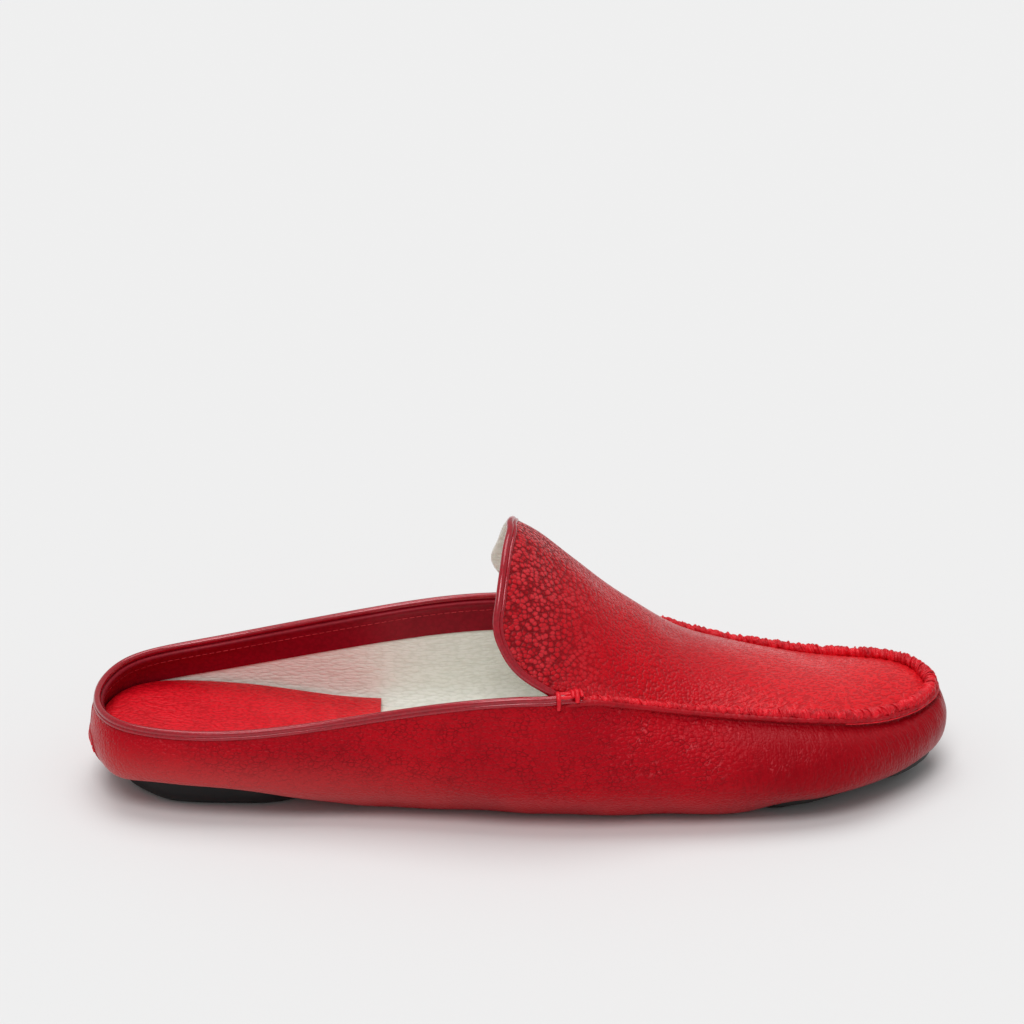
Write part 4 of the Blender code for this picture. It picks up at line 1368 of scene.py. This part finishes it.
def wrap_leather():
    """Plates along the sides, folds at the toe, and painted light.

    Painted glints on fine ridges, a painted sheen low at the heel, and painted shade on
    the sides and the toe.
    """
    leather = Finish("wrap_grain")
    place = leather.place()
    x, _, z = leather.axes(place)
    around = leather.attribute("around")
    toe = x.between(48 * MM, 84 * MM)
    heel = 1.0 - x.between(-122 * MM, -78 * MM)
    wide = leather.stretched(place, (0.70, 0.8, 1))
    plates, _ = leather.grain(wide, SIDE_PLATE)
    cracks = leather.cracks(wide, SIDE_PLATE, 0.20, wander=0.55)
    small, gaps = leather.grain(place, 0.95 * MM)
    folds = leather.cracks(leather.point(around, z * 0.22, 0.0), 1.25 * MM, 0.20)
    slanting = leather.point(x * 0.87 - z * 0.5, x * 0.14 + z * 0.24, 0.0)
    strokes = leather.cracks(slanting, 1.35 * MM, 0.085, wander=0.6)
    mottle = leather.noise(place, 130.0, 2.0)
    broken = leather.noise(place, 420.0, 1.0).between(0.36, 0.56)
    high = z.between(8 * MM, 19 * MM)
    plate_share = (1.0 - toe) * (1.0 - heel * 0.75) * (0.12 + high * 0.88)
    crack = cracks * (0.35 + broken * 0.65) * plate_share * (0.5 + mottle.between(0.35, 0.60) * 0.5)
    # Painted shade in the folds round the toe.
    fold = folds * broken * toe * (1.0 - z.between(18 * MM, 30 * MM)) * 0.75
    height = plates * plate_share * 0.50 - crack * 0.30 + small * (0.18 + heel * 0.14) - folds * toe * 0.16
    # Painted glints along fine ridges; the same marks raise the ridges a little.
    ridge_glint = strokes * leather.noise(place, 620.0, 1.0).between(0.52, 0.60) * mottle.between(0.46, 0.60)
    ridge_glint = ridge_glint * x.between(20 * MM, 40 * MM) * (1.0 - x.between(70 * MM, 100 * MM))
    ridge_glint = ridge_glint * z.between(16 * MM, 22 * MM)
    # Where the painted sheen lies: low on the heel's side.
    floor_sheen = (1.0 - x.between(-112 * MM, 20 * MM)) * (1.0 - z.between(9 * MM, 26 * MM))
    floor_sheen = floor_sheen * z.between(2 * MM, 8 * MM)
    # The sides' base red is painted shade.
    colour = red_colour(leather, place, (SIDE_SHADE_RED, SIDE_SHADE_WARM_RED))
    # Cracks and grain gaps darkened, partly dye and partly painted shade; the toe folds get painted shade.
    colour = leather.blend((crack * 0.60 + gaps * 0.12 + fold) * 0.75, colour, CRACK_DYE_AND_SHADE)
    # Painted sheen low on the heel.
    colour = leather.blend(floor_sheen * 0.95, colour, PAINTED_SHEEN_RED)
    # Painted shade over the toe's side.
    colour = leather.blend(toe * 0.75, colour, TOE_SHADE_RED)
    # Painted glints on the ridges.
    colour = leather.blend(ridge_glint * 0.38, colour, PAINTED_RIDGE_GLINT)
    return leather.shade(
        Base_Color=colour,
        Roughness=0.30 + mottle * 0.10 + crack * 0.20,
        Normal=leather.bump(height + ridge_glint * 0.1, GRAIN_DEPTH),
        Specular_IOR_Level=0.30,
        Specular_Tint=DEEP_GLINT,
    )


# %% Seam leather and thread
def puckered_leather(name, colour, dark, roughness, depth):
    """Leather or thread that is crumpled all over, with relief of that depth."""
    leather = Finish(name)
    place = leather.place()
    lumps = leather.noise(place, 900.0, 3.0, roughness=0.6)
    patches = leather.noise(place, 260.0, 2.0).between(0.35, 0.65)
    return leather.shade(
        # Darker in random patches, and in the crumples' low parts as painted shade.
        Base_Color=leather.blend(patches * 0.5 + (1.0 - lumps.between(0.35, 0.55)) * 0.4, colour, dark),
        Roughness=roughness + patches * 0.12,
        Normal=leather.bump(lumps, depth, 0.9),
        Specular_IOR_Level=0.5,
        Specular_Tint=RED_GLINT,
    )


# %% Smooth leathers
WHITE_GLINT = (1.0, 1.0, 1.0, 1)
EVEN = (1, 1, 1)


def smooth_leather(name, colours, roughness, size, depth, stretch=EVEN, glint=WHITE_GLINT, gloss=0.45):
    """A leather with a fine grain of that size and depth, drawn out by the stretch."""
    leather = Finish(name)
    place = leather.stretched(leather.place(), stretch)
    pebbles, gaps = leather.grain(place, size, wander=0.9)
    folds = leather.noise(place, 0.22 / size, 3.0)
    patches = leather.noise(leather.place(), 90.0, 3.0).between(0.3, 0.7)
    return leather.shade(
        # Darker in random patches, and in the grain's hollows as painted shade.
        Base_Color=leather.blend(patches * 0.30 + gaps * 0.60, *colours),
        Roughness=roughness + patches * 0.08,
        Normal=leather.bump(pebbles * 0.5 + folds * 0.9, depth, 0.9),
        Specular_IOR_Level=gloss,
        Specular_Tint=glint,
    )


# %% Rubber with a stitched line
RUBBER = (0.0155, 0.0155, 0.016, 1)
RUBBER_RIM = (0.022, 0.021, 0.020, 1)
RUBBER_SMEAR = (0.030, 0.029, 0.028, 1)
RUBBER_GROOVE = (0.003, 0.003, 0.003, 1)


def tread_rubber(name, line_at, side):
    """Black rubber: a paler rim, a side painted darker as shade, and a thin groove that far inside the
    edge.
    """
    black = Finish(name)
    place = black.place()
    inset = black.attribute("inset")
    rim_share = 1.0 - inset.between(line_at - 0.5 * MM, line_at)
    shaded_side_share = 1.0 - inset.between(0.15 * MM, 0.6 * MM)
    groove = inset.between(line_at - GROOVE_HALF_WIDTH, line_at)
    groove = groove * (1.0 - inset.between(line_at + GROOVE_HALF_WIDTH, line_at + 2 * GROOVE_HALF_WIDTH))
    speckle = black.noise(place, 2400.0, 3.0)
    smears = black.noise(black.stretched(place, (0.3, 1, 1)), 160.0, 3.0).between(0.45, 0.75)
    colour = black.blend(rim_share * 0.35, RUBBER, RUBBER_RIM)
    # The side is painted darker than the rubber, as shade.
    colour = black.blend(shaded_side_share * 0.8, colour, side)
    colour = black.blend(smears * 0.25, colour, RUBBER_SMEAR)
    return black.shade(
        Base_Color=black.blend(groove * 0.9, colour, RUBBER_GROOVE),
        Roughness=0.50 + speckle * 0.15,
        Normal=black.bump(speckle * 0.12 - groove, 0.30 * MM, 0.6),
        Specular_IOR_Level=0.35,
    )


# %% Mix every finish
apron_red = apron_leather()
wrap_red = wrap_leather()
# Each of these has a colour and a darker one for its patches, and for painted shade in its hollows.
PUCKERS = (0.82, 0.010, 0.022, 1), (0.36, 0.001, 0.006, 1)
# The seam lip's and the heel flap's reds are as dark as the sides' painted shade.
LIP = (0.44, 0.002, 0.010, 1), (0.28, 0.001, 0.005, 1)
FLAP = (0.42, 0.003, 0.012, 1), (0.33, 0.002, 0.008, 1)
THREAD = (0.82, 0.016, 0.030, 1), (0.52, 0.004, 0.012, 1)
STITCH = (0.62, 0.030, 0.045, 1), (0.42, 0.008, 0.016, 1)
PIPING = (0.38, 0.002, 0.012, 1), (0.26, 0.001, 0.007, 1)
FACING = (0.28, 0.002, 0.012, 1), (0.20, 0.001, 0.008, 1)
PAD = (0.78, 0.005, 0.016, 1), (0.52, 0.002, 0.008, 1)
LINING = (0.95, 0.96, 0.88, 1), (0.83, 0.84, 0.75, 1)
PINK_GLINT = (1.0, 0.60, 0.64, 1)

pucker_red = puckered_leather("seam_puckers", *PUCKERS, 0.24, 0.45 * MM)
lip_red = puckered_leather("seam_lip", *LIP, 0.38, 0.18 * MM)
flap_red = puckered_leather("flap_leather", *FLAP, 0.42, 0.10 * MM)
thread_red = puckered_leather("red_thread", *THREAD, 0.28, 0.14 * MM)
stitch_red = puckered_leather("facing_stitch", *STITCH, 0.35, 0.05 * MM)
piping_red = smooth_leather("polished_piping", PIPING, 0.13, 0.9 * MM, 0.012 * MM, EVEN, PINK_GLINT, 1.0)
facing_red = smooth_leather("smooth_facing", FACING, 0.42, 1.3 * MM, 0.05 * MM, EVEN, RED_GLINT)
pad_red = smooth_leather("pad_leather", PAD, 0.42, 0.95 * MM, 0.42 * MM, (0.6, 1, 1), DEEP_GLINT)
lining_pale = smooth_leather("lining_leather", LINING, 0.42, 0.8 * MM, 0.24 * MM, (0.34, 1, 1))
# The sides' colours are darker than the rubber: painted shade.
forefoot_rubber = tread_rubber("forefoot_rubber", FOREFOOT_GROOVE, (0.013, 0.013, 0.012, 1))
heel_rubber = tread_rubber("heel_rubber", 4.2 * MM, (0.007, 0.007, 0.008, 1))

# %% Finish every piece
finish_piece(wrap, wrap_red, "upper")
finish_piece(lining, lining_pale)
finish_piece(apron, apron_red, "apron")
finish_piece(tongue_lining, lining_pale)
finish_piece(collar_roll, piping_red, "collar_piping")
finish_piece(tongue_roll, piping_red, "tongue_piping")
finish_piece(inner_roll, pucker_red)
finish_piece(outer_roll, lip_red)
finish_piece(seam_thread, thread_red)
finish_piece(throat_tacks, thread_red)
finish_piece(heel_flap, flap_red)
finish_piece(back_seam, lip_red)
finish_piece(flap_thread, thread_red)
finish_piece(facing, facing_red)
finish_piece(facing_thread, stitch_red)
finish_piece(footbed, lining_pale, "insole")
finish_piece(heel_cushion, pad_red, "heel_pad")
finish_piece(forefoot_tread, forefoot_rubber, "forefoot_sole")
finish_piece(heel_tread, heel_rubber, "heel_sole")
